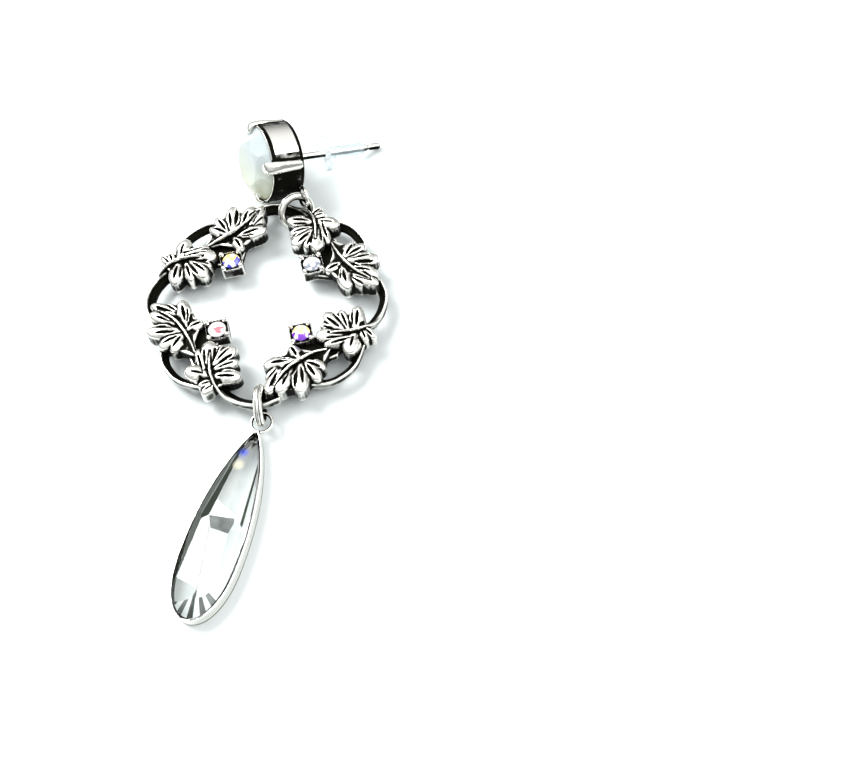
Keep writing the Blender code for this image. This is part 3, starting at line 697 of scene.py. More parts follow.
def vein_cutter(start_x, start_y, end_x, end_y, width, height):
    """A thin pointed cutter that lies along a vein."""
    depth = 0.46 * MM
    tilt = math.radians(6)
    overrun = 1.05
    wider = 1.2
    root = 0.20 * MM
    along, halfway = drawn_line((start_x, start_y), (end_x, end_y), root)
    ball = bpy.ops.mesh.primitive_uv_sphere_add
    piece = added("vein", ball, segments=8, ring_count=10, radius=1.0)
    edit(piece)
    turn(math.pi / 2, "Y")
    stretch(overrun * along.length / 2, wider * width * SQUARE / 2, depth)
    turn(tilt, "Y")
    turn(math.atan2(along.y, along.x))
    shift(halfway.x, halfway.y, height * MM)
    close()
    return piece


def small_cup():
    """The square cup: a block hollowed for its stone, with a claw at each corner."""
    side = 2.4 * MM
    height = 1.62 * MM
    wall = 0.26 * MM
    seat = 0.95 * MM
    claw_radius = 0.3 * MM
    claw_reach = 1.34 * MM
    claw_height = 1.62 * MM
    claw_share = 1.25
    corners = 4
    ball = bpy.ops.mesh.primitive_uv_sphere_add
    cup = added("cup", bpy.ops.mesh.primitive_cube_add, size=1)
    edit(cup)
    stretch(side, side, height)
    shift(z=height / 2)
    pick_faces(cup, lambda face: face.normal.z > 0.9)
    bpy.ops.mesh.inset(thickness=wall)
    shift(z=-seat)
    close()
    claws = [cup]
    for i in range(corners):
        angle = math.pi * (0.25 + 0.5 * i)
        claw = added("claw", ball, segments=14, ring_count=8, radius=claw_radius)
        edit(claw)
        stretch(z=claw_share)
        shift(claw_reach * math.cos(angle), claw_reach * math.sin(angle), claw_height)
        close()
        claws.append(claw)
    cup = join(claws, "small_cup")
    edit(cup)
    turn(SMALL_CUP_TURN)
    shift(SMALL_CUP[0] * SQUARE, SMALL_CUP[1] * SQUARE)
    close()
    return melt(cup, SMALL_CUP_SQUARE, rounds=2)


def wreath_quarter():
    """A quarter of the casting about the wreath's centre, its underside at z = 0."""
    floor_height = 1.5 * MM
    stem_height = 0.8 * MM
    leaves = [lobe(*row) for row in LEAF_A_LOBES + LEAF_B_LOBES]
    leaves.append(flat_piece("leaf_floor", LEAF_A_FLOOR, floor_height))
    leaves.append(flat_piece("leaf_floor", LEAF_B_FLOOR, floor_height))
    leaves = join(leaves, "leaves")
    fuse(leaves, LEAF_SQUARE)
    channel = round_section(0.50, 0.62, 10)
    cutters = [vein_cutter(*row) for row in VEINS]
    cutters.append(swept("channel", CHANNEL_A_RUN, channel, SQUARE))
    cutters.append(swept("channel", CHANNEL_B_RUN, channel, SQUARE))
    cutter = join(cutters, "cutter")
    fuse(cutter, CUTTER_SQUARE)
    apply_modifier(leaves, "BOOLEAN", operation="DIFFERENCE", solver="MANIFOLD", object=cutter)
    bpy.data.objects.remove(cutter)
    quarter = join([
        leaves,
        swept("rim", RIM_RUN, RIM_SECTION, SQUARE),
        swept("ear", EAR_RUN, RIM_SECTION, SQUARE),
        swept("midrib", MIDRIB_A_RUN, MIDRIB_SECTION, SQUARE),
        swept("midrib", MIDRIB_B_RUN, MIDRIB_SECTION, SQUARE),
        flat_piece("stem_plate", STEM_PLATE, stem_height),
    ], "wreath_quarter")
    return melt(quarter, CASTING_SQUARE)


def mark_relief(piece, rounds, patina_and_shade=None):
    """Keeps how far each point stands out in mm, less any tarnish and painted shade, as the
    attribute relief.
    """
    mesh = piece.data
    count = len(mesh.vertices)
    places = np.empty(count * 3, np.float32)
    mesh.vertices.foreach_get("co", places)
    places = places.reshape(-1, 3).astype(np.float64)
    normals = np.empty(count * 3, np.float32)
    mesh.vertices.foreach_get("normal", normals)
    normals = normals.reshape(-1, 3)
    ends = np.empty(len(mesh.edges) * 2, np.int32)
    mesh.edges.foreach_get("vertices", ends)
    ends = ends.reshape(-1, 2)
    near = np.concatenate([ends[:, 0], ends[:, 1]])
    far = np.concatenate([ends[:, 1], ends[:, 0]])
    links = np.bincount(near, minlength=count)[:, None]
    levelled = places.copy()
    for _ in range(rounds):
        sums = [np.bincount(near, weights=levelled[far, axis], minlength=count) for axis in range(3)]
        levelled = np.stack(sums, axis=1) / links
    standing = ((places - levelled) * normals).sum(axis=1) / MM
    if patina_and_shade:
        standing -= patina_and_shade(places / MM)
    layer = mesh.attributes.new("relief", "FLOAT", "POINT")
    layer.data.foreach_set("value", standing.astype(np.float32))


def group(name, inputs, outputs):
    """A shader node group with named sockets, and its input and output nodes."""
    tree = bpy.data.node_groups.new(name, "ShaderNodeTree")
    for label, kind, default in inputs:
        socket = tree.interface.new_socket(label, in_out="INPUT", socket_type=kind)
        socket.default_value = default
    for label, kind in outputs:
        tree.interface.new_socket(label, in_out="OUTPUT", socket_type=kind)
    return tree, tree.nodes.new("NodeGroupInput"), tree.nodes.new("NodeGroupOutput")


def feed(tree, socket, value):
    """Links a socket to another one, or sets it to a plain value."""
    if isinstance(value, bpy.types.NodeSocket):
        tree.links.new(value, socket)
    else:
        socket.default_value = value


def node(tree, kind, values=None, **settings):
    """A node with its settings and its inputs."""
    made = tree.nodes.new(kind)
    for name, value in settings.items():
        setattr(made, name, value)
    for name, value in (values or {}).items():
        feed(tree, made.inputs[name], value)
    return made


def object_place(tree):
    """Each point's place in the earring's own frame."""
    return node(tree, "ShaderNodeTexCoord").outputs["Object"]


def own_value(tree, name):
    """A value that the mesh keeps."""
    return node(tree, "ShaderNodeAttribute", attribute_name=name).outputs["Fac"]


def maths(tree, operation, *values, clamp=False):
    """The result of a sum on sockets and numbers."""
    made = node(tree, "ShaderNodeMath", dict(enumerate(values)), operation=operation)
    made.use_clamp = clamp
    return made.outputs[0]


def mixed(tree, share, first, second):
    """A colour on the way from the first to the second."""
    made = node(tree, "ShaderNodeMix", data_type="RGBA")
    feed(tree, made.inputs[0], share)
    feed(tree, made.inputs[6], first)
    feed(tree, made.inputs[7], second)
    return made.outputs[2]


def noise(tree, place, scale, detail, roughness=0.5):
    """An uneven pattern between 0 and 1."""
    values = {"Vector": place, "Scale": scale, "Detail": detail, "Roughness": roughness}
    return node(tree, "ShaderNodeTexNoise", values).outputs["Fac"]


def moved(tree, value, low, high, new_low, new_high, clamp=True):
    """A value moved from one range to another."""
    values = {
        "Value": value,
        "From Min": low,
        "From Max": high,
        "To Min": new_low,
        "To Max": new_high,
    }
    return node(tree, "ShaderNodeMapRange", values, clamp=clamp).outputs["Result"]


def ramp(tree, value, stops):
    """A colour for each value, between the colours at the stops."""
    made = node(tree, "ShaderNodeValToRGB", {0: value})
    marks = made.color_ramp.elements
    for place, _ in stops[1:-1]:
        marks.new(place)
    for mark, (place, colour) in zip(marks, stops):
        mark.position = place
        mark.color = colour
    return made.outputs["Color"]


def new_material(name):
    """A material, its node tree and its shader."""
    material = bpy.data.materials.new(name)
    material.use_nodes = True
    tree = material.node_tree
    return material, tree, tree.nodes["Principled BSDF"]


def roughen(tree, shader, height, strength, depth):
    """Gives a shader a fine uneven surface."""
    values = {"Strength": strength, "Distance": depth, "Height": height}
    uneven = node(tree, "ShaderNodeBump", values)
    tree.links.new(uneven.outputs["Normal"], shader.inputs["Normal"])


def patina_group():
    """Silver rubbed bright where it stands out and left dark where it lies back; painted shade,
    taken off the relief, darkens it too.
    """
    tree, given, out = group(
        "patina",
        (
            ("Relief", "NodeSocketFloat", 0.0),
            ("Dark Below", "NodeSocketFloat", 0.0),
            ("Bright Above", "NodeSocketFloat", 0.03),
            ("Mottle", "NodeSocketFloat", 0.4),
            ("Bright", "NodeSocketColor", SILVER_BRIGHT),
            ("Dark", "NodeSocketColor", SILVER_DARK),
        ),
        (
            ("Colour", "NodeSocketColor"),
            ("Roughness", "NodeSocketFloat"),
            ("Height", "NodeSocketFloat"),
        ),
    )
    place = object_place(tree)
    coarse = noise(tree, place, 900.0, 4.0, 0.6)
    fine = noise(tree, place, 3800.0, 3.0, 0.6)
    dark_below = given.outputs["Dark Below"]
    bright_above = given.outputs["Bright Above"]
    rise = moved(tree, given.outputs["Relief"], dark_below, bright_above, 0.0, 1.0, clamp=False)
    patches = maths(tree, "SUBTRACT", coarse, 0.5)
    patches = maths(tree, "MULTIPLY", patches, given.outputs["Mottle"])
    rubbed = maths(tree, "MULTIPLY_ADD", patches, 2.0, rise, clamp=True)
    colour = mixed(tree, rubbed, given.outputs["Dark"], given.outputs["Bright"])
    rough = moved(tree, rubbed, 0.0, 1.0, DARK_ROUGHNESS, BRIGHT_ROUGHNESS)
    rough = maths(tree, "MULTIPLY_ADD", fine, 0.08, rough)
    height = maths(tree, "MULTIPLY_ADD", fine, 0.4, coarse)
    tree.links.new(colour, out.inputs["Colour"])
    tree.links.new(rough, out.inputs["Roughness"])
    tree.links.new(height, out.inputs["Height"])
    return tree


def silver(name, patina, dark_below, bright_above, mottle, bump):
    """Antiqued silver whose patina reads the piece's own relief, less its painted shade."""
    material, tree, shader = new_material(name)
    values = {
        "Relief": own_value(tree, "relief"),
        "Dark Below": dark_below,
        "Bright Above": bright_above,
        "Mottle": mottle,
    }
    worn = node(tree, "ShaderNodeGroup", node_tree=patina)
    for label, value in values.items():
        feed(tree, worn.inputs[label], value)
    tree.links.new(worn.outputs["Colour"], shader.inputs["Base Color"])
    tree.links.new(worn.outputs["Roughness"], shader.inputs["Roughness"])
    shader.inputs["Metallic"].default_value = 1.0
    roughen(tree, shader, worn.outputs["Height"], bump, 0.02 * MM)
    return material


def haze_group():
    """A clear surface's gloss and height, both a little uneven."""
    tree, given, out = group(
        "haze",
        (
            ("Smoothest", "NodeSocketFloat", 0.0),
            ("Roughest", "NodeSocketFloat", 0.1),
        ),
        (
            ("Roughness", "NodeSocketFloat"),
            ("Height", "NodeSocketFloat"),
        ),
    )
    cloud = noise(tree, object_place(tree), 700.0, 3.0)
    gloss = moved(tree, cloud, 0.0, 1.0, given.outputs["Smoothest"], given.outputs["Roughest"])
    tree.links.new(gloss, out.inputs["Roughness"])
    tree.links.new(cloud, out.inputs["Height"])
    return tree


def clear_material(name, haze, roughness, ior, transmission, bump):
    """A clear material that lets most of the light past to what lies under it."""
    material, tree, shader = new_material(name)
    shader.inputs["IOR"].default_value = ior
    shader.inputs["Transmission Weight"].default_value = transmission
    film = node(tree, "ShaderNodeGroup", node_tree=haze)
    film.inputs["Smoothest"].default_value = roughness * 0.5
    film.inputs["Roughest"].default_value = roughness * 1.5
    tree.links.new(film.outputs["Roughness"], shader.inputs["Roughness"])
    roughen(tree, shader, film.outputs["Height"], bump, 0.01 * MM)
    rays = node(tree, "ShaderNodeLightPath")
    holds_back = maths(tree, "MULTIPLY_ADD", rays.outputs["Is Shadow Ray"], -SHADOW_LET_BY, 1.0)
    tree.links.new(holds_back, shader.inputs["Alpha"])
    return material, tree, shader


def crystal_material(haze):
    """Clear cut glass with painted reflections: each facet is painted with its own share of the dark
    room, and two painted flashes glow.
    """
    material, tree, shader = clear_material("clear_crystal", haze, 0.01, 1.52, 1.0, 0.02)
    contrast = 4.0
    flash_core = 0.15
    flash_share = 0.95
    shader.inputs["Specular IOR Level"].default_value = 0.08
    # the painted flashes glow by themselves
    shader.inputs["Emission Strength"].default_value = 0.35
    place = object_place(tree)
    streaks = moved(tree, noise(tree, place, 600.0, 2.0), 0.3, 0.7, 0.75, 1.15)
    # painted reflection: each facet's darkness, a little uneven, turns its colour from the bright
    # room towards the dark
    darkness = maths(tree, "MULTIPLY", own_value(tree, "painted_reflection"), streaks, clamp=True)
    light = maths(tree, "SUBTRACT", 1.0, darkness)
    seen = maths(tree, "POWER", light, contrast)
    colour = mixed(tree, seen, CRYSTAL_DARK, CRYSTAL_BRIGHT)
    # painted flashes: a colour and a glow that fade out from each spot
    painted_glow = NO_GLOW
    for spot, size, tint in PAINTED_FLASHES:
        centre = drop_matrix() @ (Vector(spot) * MM)
        away = node(tree, "ShaderNodeVectorMath", {0: place, 1: centre}, operation="DISTANCE")
        edge = size * MM
        core = flash_core * edge
        fade = moved(tree, away.outputs["Value"], core, edge, flash_share, 0.0)
        colour = mixed(tree, fade, colour, tint)
        painted_glow = mixed(tree, fade, painted_glow, tint)
    tree.links.new(colour, shader.inputs["Base Color"])
    tree.links.new(painted_glow, shader.inputs["Emission Color"])
    return material


def opal_material(haze):
    """Milky glass, bluish above and yellow-green towards the table."""
    material, tree, shader = clear_material("milky_opal", haze, 0.08, 1.5, 0.25, 0.1)
    shader.inputs["Subsurface Weight"].default_value = 0.6
    shader.inputs["Subsurface Radius"].default_value = (1.0, 1.0, 1.0)
    shader.inputs["Subsurface Scale"].default_value = 1.5 * MM
    place = object_place(tree)
    height = node(tree, "ShaderNodeSeparateXYZ", {0: place}).outputs["Z"]
    cloud = noise(tree, place, 350.0, 2.0)
    height = maths(tree, "MULTIPLY_ADD", cloud, 2.0 * MM, height)
    share = moved(tree, height, 2.5 * MM, 9.0 * MM, 0.0, 1.0)
    tree.links.new(ramp(tree, share, OPAL_TONES), shader.inputs["Base Color"])
    return material


def silicone_material(haze):
    """Soft clear plastic with a faint blue cast."""
    material, _, shader = clear_material("clear_silicone", haze, 0.20, 1.38, 0.9, 0.15)
    shader.inputs["Base Color"].default_value = SILICONE_COLOUR
    return material


def painted_sparkle_group():
    """A cut stone's patchwork of painted flashes between two tints, with pale painted glints."""
    tree, given, out = group(
        "painted_sparkle",
        (
            ("Far Tint", "NodeSocketColor", (1.0, 0.9, 0.4, 1.0)),
            ("Near Tint", "NodeSocketColor", (0.3, 0.4, 1.0, 1.0)),
            ("Split", "NodeSocketFloat", 0.0),
        ),
        (
            ("Colour", "NodeSocketColor"),
            ("Flash", "NodeSocketFloat"),
        ),
    )
    place = object_place(tree)
    cells = node(tree, "ShaderNodeTexVoronoi", {"Vector": place, "Scale": 2200.0})
    chance = node(tree, "ShaderNodeSeparateColor", {0: cells.outputs["Color"]}).outputs
    along = node(tree, "ShaderNodeSeparateXYZ", {0: place}).outputs["Y"]
    past = maths(tree, "SUBTRACT", along, given.outputs["Split"])
    stray = maths(tree, "MULTIPLY_ADD", chance[0], 1.2 * MM, -0.6 * MM)
    past = maths(tree, "ADD", past, stray)
    far = maths(tree, "GREATER_THAN", past, 0.0)
    tint = mixed(tree, far, given.outputs["Near Tint"], given.outputs["Far Tint"])
    # painted pale glints
    pale = maths(tree, "GREATER_THAN", chance[1], 0.6)
    tree.links.new(mixed(tree, pale, tint, PAINTED_PALE_GLINT), out.inputs["Colour"])
    tree.links.new(chance[2], out.inputs["Flash"])
    return tree


def rhinestone_material(name, painted_sparkle, far_tint, near_tint, split):
    """A foiled stone under a clear coat, its two tints painted on as a patchwork of flashes."""
    material, tree, shader = new_material(name)
    flashes = node(tree, "ShaderNodeGroup", node_tree=painted_sparkle)
    flashes.inputs["Far Tint"].default_value = far_tint
    flashes.inputs["Near Tint"].default_value = near_tint
    flashes.inputs["Split"].default_value = split
    tree.links.new(flashes.outputs["Colour"], shader.inputs["Base Color"])
    rough = moved(tree, flashes.outputs["Flash"], 0.0, 1.0, 0.02, 0.2)
    tree.links.new(rough, shader.inputs["Roughness"])
    shader.inputs["Metallic"].default_value = 0.25
    shader.inputs["Coat Weight"].default_value = 1.0
    shader.inputs["Coat Roughness"].default_value = 0.02
    return material


def dress(piece, material, body, replaced):
    """Gives a finished piece its material and body, and hides the solid that it stands for."""
    piece.data.materials.clear()
    piece.data.materials.append(material)
    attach(piece, body)
    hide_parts(replaced)


def set_silver(piece, patina_and_shade, place, material, replaced):
    """Puts a silver piece in its place, worn, tarnished and painted with shade."""
    mark_relief(piece, RELIEF_ROUNDS, patina_and_shade)
    put(piece, place)
    dress(piece, material, ROOT, replaced)


def four_about_wreath(first, material, name):
    """Sets a piece on the wreath four times, a quarter turn apart."""
    copies = [listed(name, first.data.copy()) for _ in range(QUARTERS - 1)]
    for i, piece in enumerate([first] + copies):
        piece.name = "%s_%d" % (name, i + 1)
        put(piece, Matrix.Translation(WREATH_PLACE) @ Matrix.Rotation(-math.pi / 2 * i, 4, "Z"))
        dress(piece, material, ROOT, "wreath")


def between(values, low, high):
    """Where values lie between two limits."""
    return (values > low) & (values < high)


def wreath_tarnish(places):
    """The casting stays dark low down, but not on the outer side of its rim."""
    across, along, height = places.T
    run = np.array([(x, y) for x, y, _, _ in EAR_RUN[::-1] + RIM_RUN[::-1]]) * SQUARE / MM
    bearings = np.arctan2(run[:, 1], run[:, 0]) % (2 * np.pi)
    rim = np.interp(np.arctan2(along, across) % (2 * np.pi), bearings, np.hypot(*run.T))
    low = np.clip((1.35 - height) / 0.6, 0.0, 1.0)
    away = np.hypot(across, along) - rim
    within = away < 0.18
    beside_rim = between(away, -0.62, 0.18) & (height < 0.8)
    return np.maximum(WREATH_LOW_TARNISH * low * within, WREATH_RIM_TARNISH * beside_rim)


def build_wreath(material):
    """The casting in four quarters, each with its square cup."""
    quarter = wreath_quarter()
    mark_relief(quarter, RELIEF_ROUNDS, wreath_tarnish)
    four_about_wreath(quarter, material, "wreath_quarter")
    cup = small_cup()
    mark_relief(cup, SMALL_CUP_ROUNDS)
    four_about_wreath(cup, material, "small_cup")


def round_stone(name, radius, low, girdle, high, sides):
    """A round stone cut to eight main facets with smaller ones between, its table uppermost."""
    half_girdle = 0.05 * radius
    table_edge = 0.46
    star_edge = 0.57
    star_fall = 0.62
    small_fall = 1.18
    step = 2 * math.pi / sides
    drum = bpy.ops.mesh.primitive_cylinder_add
    stone = added(name, drum, vertices=8 * sides, radius=radius, depth=high - low)
    edit(stone)
    shift(z=(high + low) / 2)
    crown = math.atan2(high - girdle, table_edge * radius)
    back = math.atan2(girdle - low, radius)
    facet_ring(sides, 0.0, radius, girdle + half_girdle, crown)
    facet_ring(sides, step / 2, star_edge * radius, high, star_fall * crown)
    facet_ring(2 * sides, step / 4, radius, girdle + half_girdle, small_fall * crown)
    facet_ring(sides, 0.0, radius, girdle - half_girdle, -back)
    join_flat_faces()
    return stone


def build_rhinestones(materials):
    """The four small round stones in their square cups."""
    stone = round_stone(
        "rhinestone", SMALL_STONE_RADIUS, SMALL_STONE_LOW, 0.0, SMALL_STONE_HIGH, STONE_SIDES,
    )
    for i in range(QUARTERS):
        name = "rhinestone_%d" % (i + 1)
        piece = listed(name + "_cut", stone.data.copy())
        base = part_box(name)[0][2]
        centre = middle(name)
        turned = Matrix.Rotation(SMALL_STONE_TURN - math.pi / 2 * i, 4, "Z")
        put(piece, Matrix.Translation((centre.x, centre.y, base - SMALL_STONE_LOW)) @ turned)
        dress(piece, materials[i], ROOT, name)
    bpy.data.objects.remove(stone)


def stud_matrix():
    """The stud's own axes on the table: X to its loop, Z out of its front."""
    dip = math.atan((CUP_RADIUS - POST_RADIUS) / POST_LENGTH)
    along = Vector((
        math.cos(dip) * math.cos(STUD_PLAN_ANGLE),
        math.cos(dip) * math.sin(STUD_PLAN_ANGLE),
        -math.sin(dip),
    ))
    side = Vector((-math.sin(STUD_PLAN_ANGLE), math.cos(STUD_PLAN_ANGLE), 0.0))
    to_loop = -math.cos(STUD_LOOP_HANG) * side - math.sin(STUD_LOOP_HANG) * along.cross(side)
    front = -along
    axes = Matrix((to_loop, front.cross(to_loop), front)).transposed().to_4x4()
    return Matrix.Translation(STUD_BACK) @ axes


def stud_prong():
    """A prong up the cup's side, bent over the stone, modelled along X and then stood up."""
    piece = swept("prong", PRONG_RUN, PRONG_SECTION, MM)
    edit(piece)
    turn(-math.pi / 2, "Y")
    turn(math.pi)
    close()
    return piece


def stud_shade_and_patina(places):
    """Painted shade with some patina: the stud is black on its cup's two edges and back, by its
    loop, beside its prongs, inside its loop and on both ends of its post.
    """
    across, up, height = places.T
    radius = np.hypot(across, up)
    angle = np.degrees(np.abs(np.arctan2(up, across)))
    cup_wall = between(radius, 4.0, 4.46) & (height > -0.1)
    # painted shade with some patina on the cup's front edge and back chamfer
    front = cup_wall & between(height, 3.38, 3.95)
    back = between(radius, 3.8, 4.46) & (height < 0.50)
    # painted shade on the cup's flat back
    back_face = between(radius, 1.0, 3.81) & between(height, -0.3, 0.30)
    # painted shade with some patina on the cup's side by the loop
    loop_side = cup_wall & (angle < 38)
    from_prong = np.abs(angle % 90 - 45)
    # painted shade with some patina at each prong's foot, and a painted shadow beside it
    prong_foot = cup_wall & between(from_prong, 7.0, 11.5)
    prong_side = cup_wall & between(from_prong, 11.4, 19.0)
    post = radius < 0.6
    # painted shade on one side of the post, darker at both ends
    post_ends = post & (between(height, -3.0, 0.0) | (height < -10.0))
    post_middle = post & between(height, -10.0, -3.0)
    # painted shade inside the loop
    inside_loop = np.hypot(across - 5.4, up) < 1.05
    # painted shade and patina taken together
    shade_and_patina = np.maximum.reduce([
        CUP_LOOP_SIDE_SHADE_AND_PATINA * loop_side,
        PRONG_FOOT_SHADE_AND_PATINA * prong_foot,
        PRONG_SHADOW * prong_side,
        CUP_EDGE_SHADE_AND_PATINA * (front | back),
    ])
    shade_and_patina += CUP_BACK_SHADE * back_face
    shade_and_patina += POST_END_SHADE * (post_ends & (across > 0.25))
    shade_and_patina += POST_MIDDLE_SHADE * (post_middle & (across > 0.30))
    return shade_and_patina + LOOP_INSIDE_SHADE * inside_loop


def ring_shade(places):
    """Painted shade: a jump ring is black on its inside."""
    return LOOP_INSIDE_SHADE * (np.hypot(places[:, 0], places[:, 1]) < RING_RADIUS / MM - 0.22)


def drop_half_width(from_nose, length, width):
    """Half the drop's width at a distance from its nose."""
    widest = DROP_WIDEST * length
    share = np.clip(from_nose / widest, 0.0, 1.0)
    past = np.clip((from_nose - widest) / (length - widest), 0.0, 1.0)
    nose = np.sin(np.pi / 2 * share ** DROP_NOSE_POWER)
    return width / 2 * nose * np.sqrt(1.0 - past ** DROP_END_POWER)


def drop_shade_and_seam(places):
    """Painted shade: the drop's loop is black on its inside, and so is the bezel next to the stone;
    a dark seam line runs low on the bezel.
    """
    across, along, height = places.T
    length = DROP_LENGTH / MM
    from_nose = DROP_NOSE / MM - along
    from_wall = drop_half_width(from_nose, length, DROP_WIDTH / MM) - np.abs(across)
    # painted shade inside the drop's loop
    loop = np.hypot(across, along) < DROP_LOOP_RADIUS / MM - 0.02
    # painted shade on the bezel next to the stone, reaching lower on its left side and wide end
    inside = (from_wall > 0.11) & between(from_nose, 0.0, length - 0.11)
    shaded = (across < -0.2) | (along < -16.8)
    inside &= (height > 1.25) | ((from_wall < 0.27) & shaded)
    inside &= (along < -3.4) | (across < -0.15)
    seam = between(height, 0.28, 0.42) & (from_nose > 0.0)
    return LOOP_INSIDE_SHADE * loop + BEZEL_INSIDE_SHADE * inside + SEAM_TARNISH * seam


def build_stud(material, opal):
    """The turned cup with its post, prongs and loop, and the stone in it."""
    cup = lathed("cup", CUP_PROFILE, 128)
    post = lathed("post", POST_PROFILE, 32)
    loop_place = (CUP_RADIUS + LOOP_RADIUS - 0.1 * MM, 0.0, 0.35 * MM)
    pieces = [cup, post, wire_loop("loop", LOOP_RADIUS, LOOP_WIRE, loop_place)]
    for i in range(PRONG_COUNT):
        prong = stud_prong()
        edit(prong)
        turn(math.pi / PRONG_COUNT + 2 * math.pi * i / PRONG_COUNT)
        close()
        pieces.append(prong)
    setting = melt(join(pieces, "stud_silver"), STUD_SQUARE)
    set_silver(setting, stud_shade_and_patina, stud_matrix(), material, "stud_setting")
    stone = round_stone(
        "stud_opal", STUD_STONE_RADIUS, STUD_STONE_POINT, STUD_STONE_GIRDLE, STUD_STONE_TOP,
        STONE_SIDES,
    )
    put(stone, stud_matrix())
    dress(stone, opal, ROOT, "stud_stone")


def build_nut(material):
    """The clear nut on the post: a disc towards the ear and a round body behind it."""
    nut = lathed("nut", NUT_PROFILE, 64, bored=True)
    smooth(nut, math.radians(40))
    put(nut, stud_matrix() @ Matrix.Translation((0.0, 0.0, -NUT_FROM_CUP)))
    dress(nut, material, "ear_nut", "ear_nut")


def ring_section(wire, sides):
    """The round section of a jump ring's wire in mm, with two lines drawn along its outside."""
    line_angle = 28
    line_half_width = 8
    line_depth = 0.09
    points = []
    for i in range(sides):
        angle = 2 * math.pi * i / sides
        turned = math.degrees(angle)
        from_line = min(abs(turned - line_angle), abs(turned - 360 + line_angle))
        out = wire / 2 - (line_depth if from_line < line_half_width else 0.0)
        points.append((out * math.cos(angle), out * math.sin(angle)))
    return points


def jump_ring(name):
    """A jump ring of thick wire in its own XY plane."""
    bends = 12
    run = []
    for i in range(bends):
        angle = 2 * math.pi * i / bends
        run.append((RING_RADIUS * math.cos(angle), RING_RADIUS * math.sin(angle), 0.0, 1.0))
    ring = swept(name, run, ring_section(RING_WIRE / MM, 48), closed=True)
    return smooth(ring)


def build_rings(material):
    """The ring that holds the stud and the ring that holds the drop."""
    towards = Vector((
        math.cos(TOP_RING_RISE) * math.cos(TOP_RING_AZIMUTH),
        math.cos(TOP_RING_RISE) * math.sin(TOP_RING_AZIMUTH),
        math.sin(TOP_RING_RISE),
    ))
    level = towards.cross(Vector((0.0, 0.0, 1.0))).normalized()
    normal = math.cos(TOP_RING_ROLL) * level + math.sin(TOP_RING_ROLL) * level.cross(towards)
    axes = Matrix((towards, normal.cross(towards), normal)).transposed().to_4x4()
    upright = Matrix.Rotation(math.pi / 2, 4, "Y")
    for name, solid, turned in (
        ("top_jump_ring", "top_ring", axes),
        ("drop_jump_ring", "drop_link", upright),
    ):
        place = Matrix.Translation(middle(solid)) @ turned
        set_silver(jump_ring(name), ring_shade, place, material, solid)


def drop_matrix():
    """The drop's own axes on the table: its loop at the origin and its nose towards -Y."""
    link = middle("drop_link")
    out = math.sqrt(RING_RADIUS ** 2 - (link.z - DROP_LOOP_HEIGHT) ** 2)
    return Matrix.Translation((link.x, link.y - out, 0.0)) @ Matrix.Rotation(DROP_TURN, 4, "Z")


def drop_outline(inset, count):
    """The drop's outline from its nose, drawn in by an inset."""
    length = DROP_LENGTH - LENGTH_SHARE * inset
    width = DROP_WIDTH - 2 * inset
    points = []
    for i in range(count):
        angle = 2 * math.pi * i / count
        along = length * (1.0 - math.cos(angle)) / 2
        side = 1.0 if angle <= math.pi else -1.0
        half = side * drop_half_width(along, length, width)
        points.append((half, DROP_NOSE - NOSE_SHARE * inset - along))
    return points


def draw_in(inset):
    """Adds a rim inside the selected drop-shaped face."""
    extrude(0.0)
    centre = (0.0, DROP_NOSE - NOSE_SHARE / LENGTH_SHARE * DROP_LENGTH, 0.0)
    narrower = 1.0 - 2.0 * inset / DROP_WIDTH
    shorter = 1.0 - LENGTH_SHARE * inset / DROP_LENGTH
    stretch(narrower, shorter, centre=centre)


def build_drop(material, crystal):
    """The long stone in its thin bezel with the loop at its nose."""
    bezel = outline_piece("bezel", drop_outline(0.0, BEZEL_POINTS), 0.0, BEZEL_HEIGHT)
    draw_in(BEZEL_WALL)
    extrude(BEZEL_LEDGE_HEIGHT - BEZEL_HEIGHT)
    draw_in(BEZEL_LEDGE)
    extrude(-BEZEL_LEDGE_HEIGHT)
    open_through(bezel)
    close_outwards()
    loop = wire_loop("drop_loop", DROP_LOOP_RADIUS, DROP_LOOP_WIRE, (0, 0, DROP_LOOP_HEIGHT))
    setting = melt(join([bezel, loop], "drop_silver"), CASTING_SQUARE)
    set_silver(setting, drop_shade_and_seam, drop_matrix(), material, "drop_bezel")
    stone = drop_stone()
    put(stone, drop_matrix())
    dress(stone, crystal, ROOT, "drop_stone")


def hinged_normal(first, second, fall, middle_point):
    """The normal of a facet that falls away outwards from a line."""
    along = second - first
    across = Vector((along.y, -along.x, 0.0)).normalized()
    if across.dot((first + second) / 2 - middle_point) < 0.0:
        across = -across
    steep = math.radians(fall)
    down = across * math.cos(steep) - Vector((0.0, 0.0, math.sin(steep)))
    normal = along.cross(down).normalized()
    crown = fall >= 0.0
    return normal if (normal.z > 0.0) == crown else -normal


def end_rows(facets, reach, height, fall):
    """Rows for a fan of small facets round the drop's wide end."""
    rows = []
    for direction, painted_reflection in facets:
        angle = math.radians(direction)
        out = Vector((math.cos(angle), math.sin(angle), 0.0))
        side = Vector((-out.y, out.x, 0.0))
        spot = END_MIDDLE + reach * out + Vector((0.0, 0.0, height))
        rows.append(("end", spot - side, spot + side, fall, painted_reflection))
    return rows


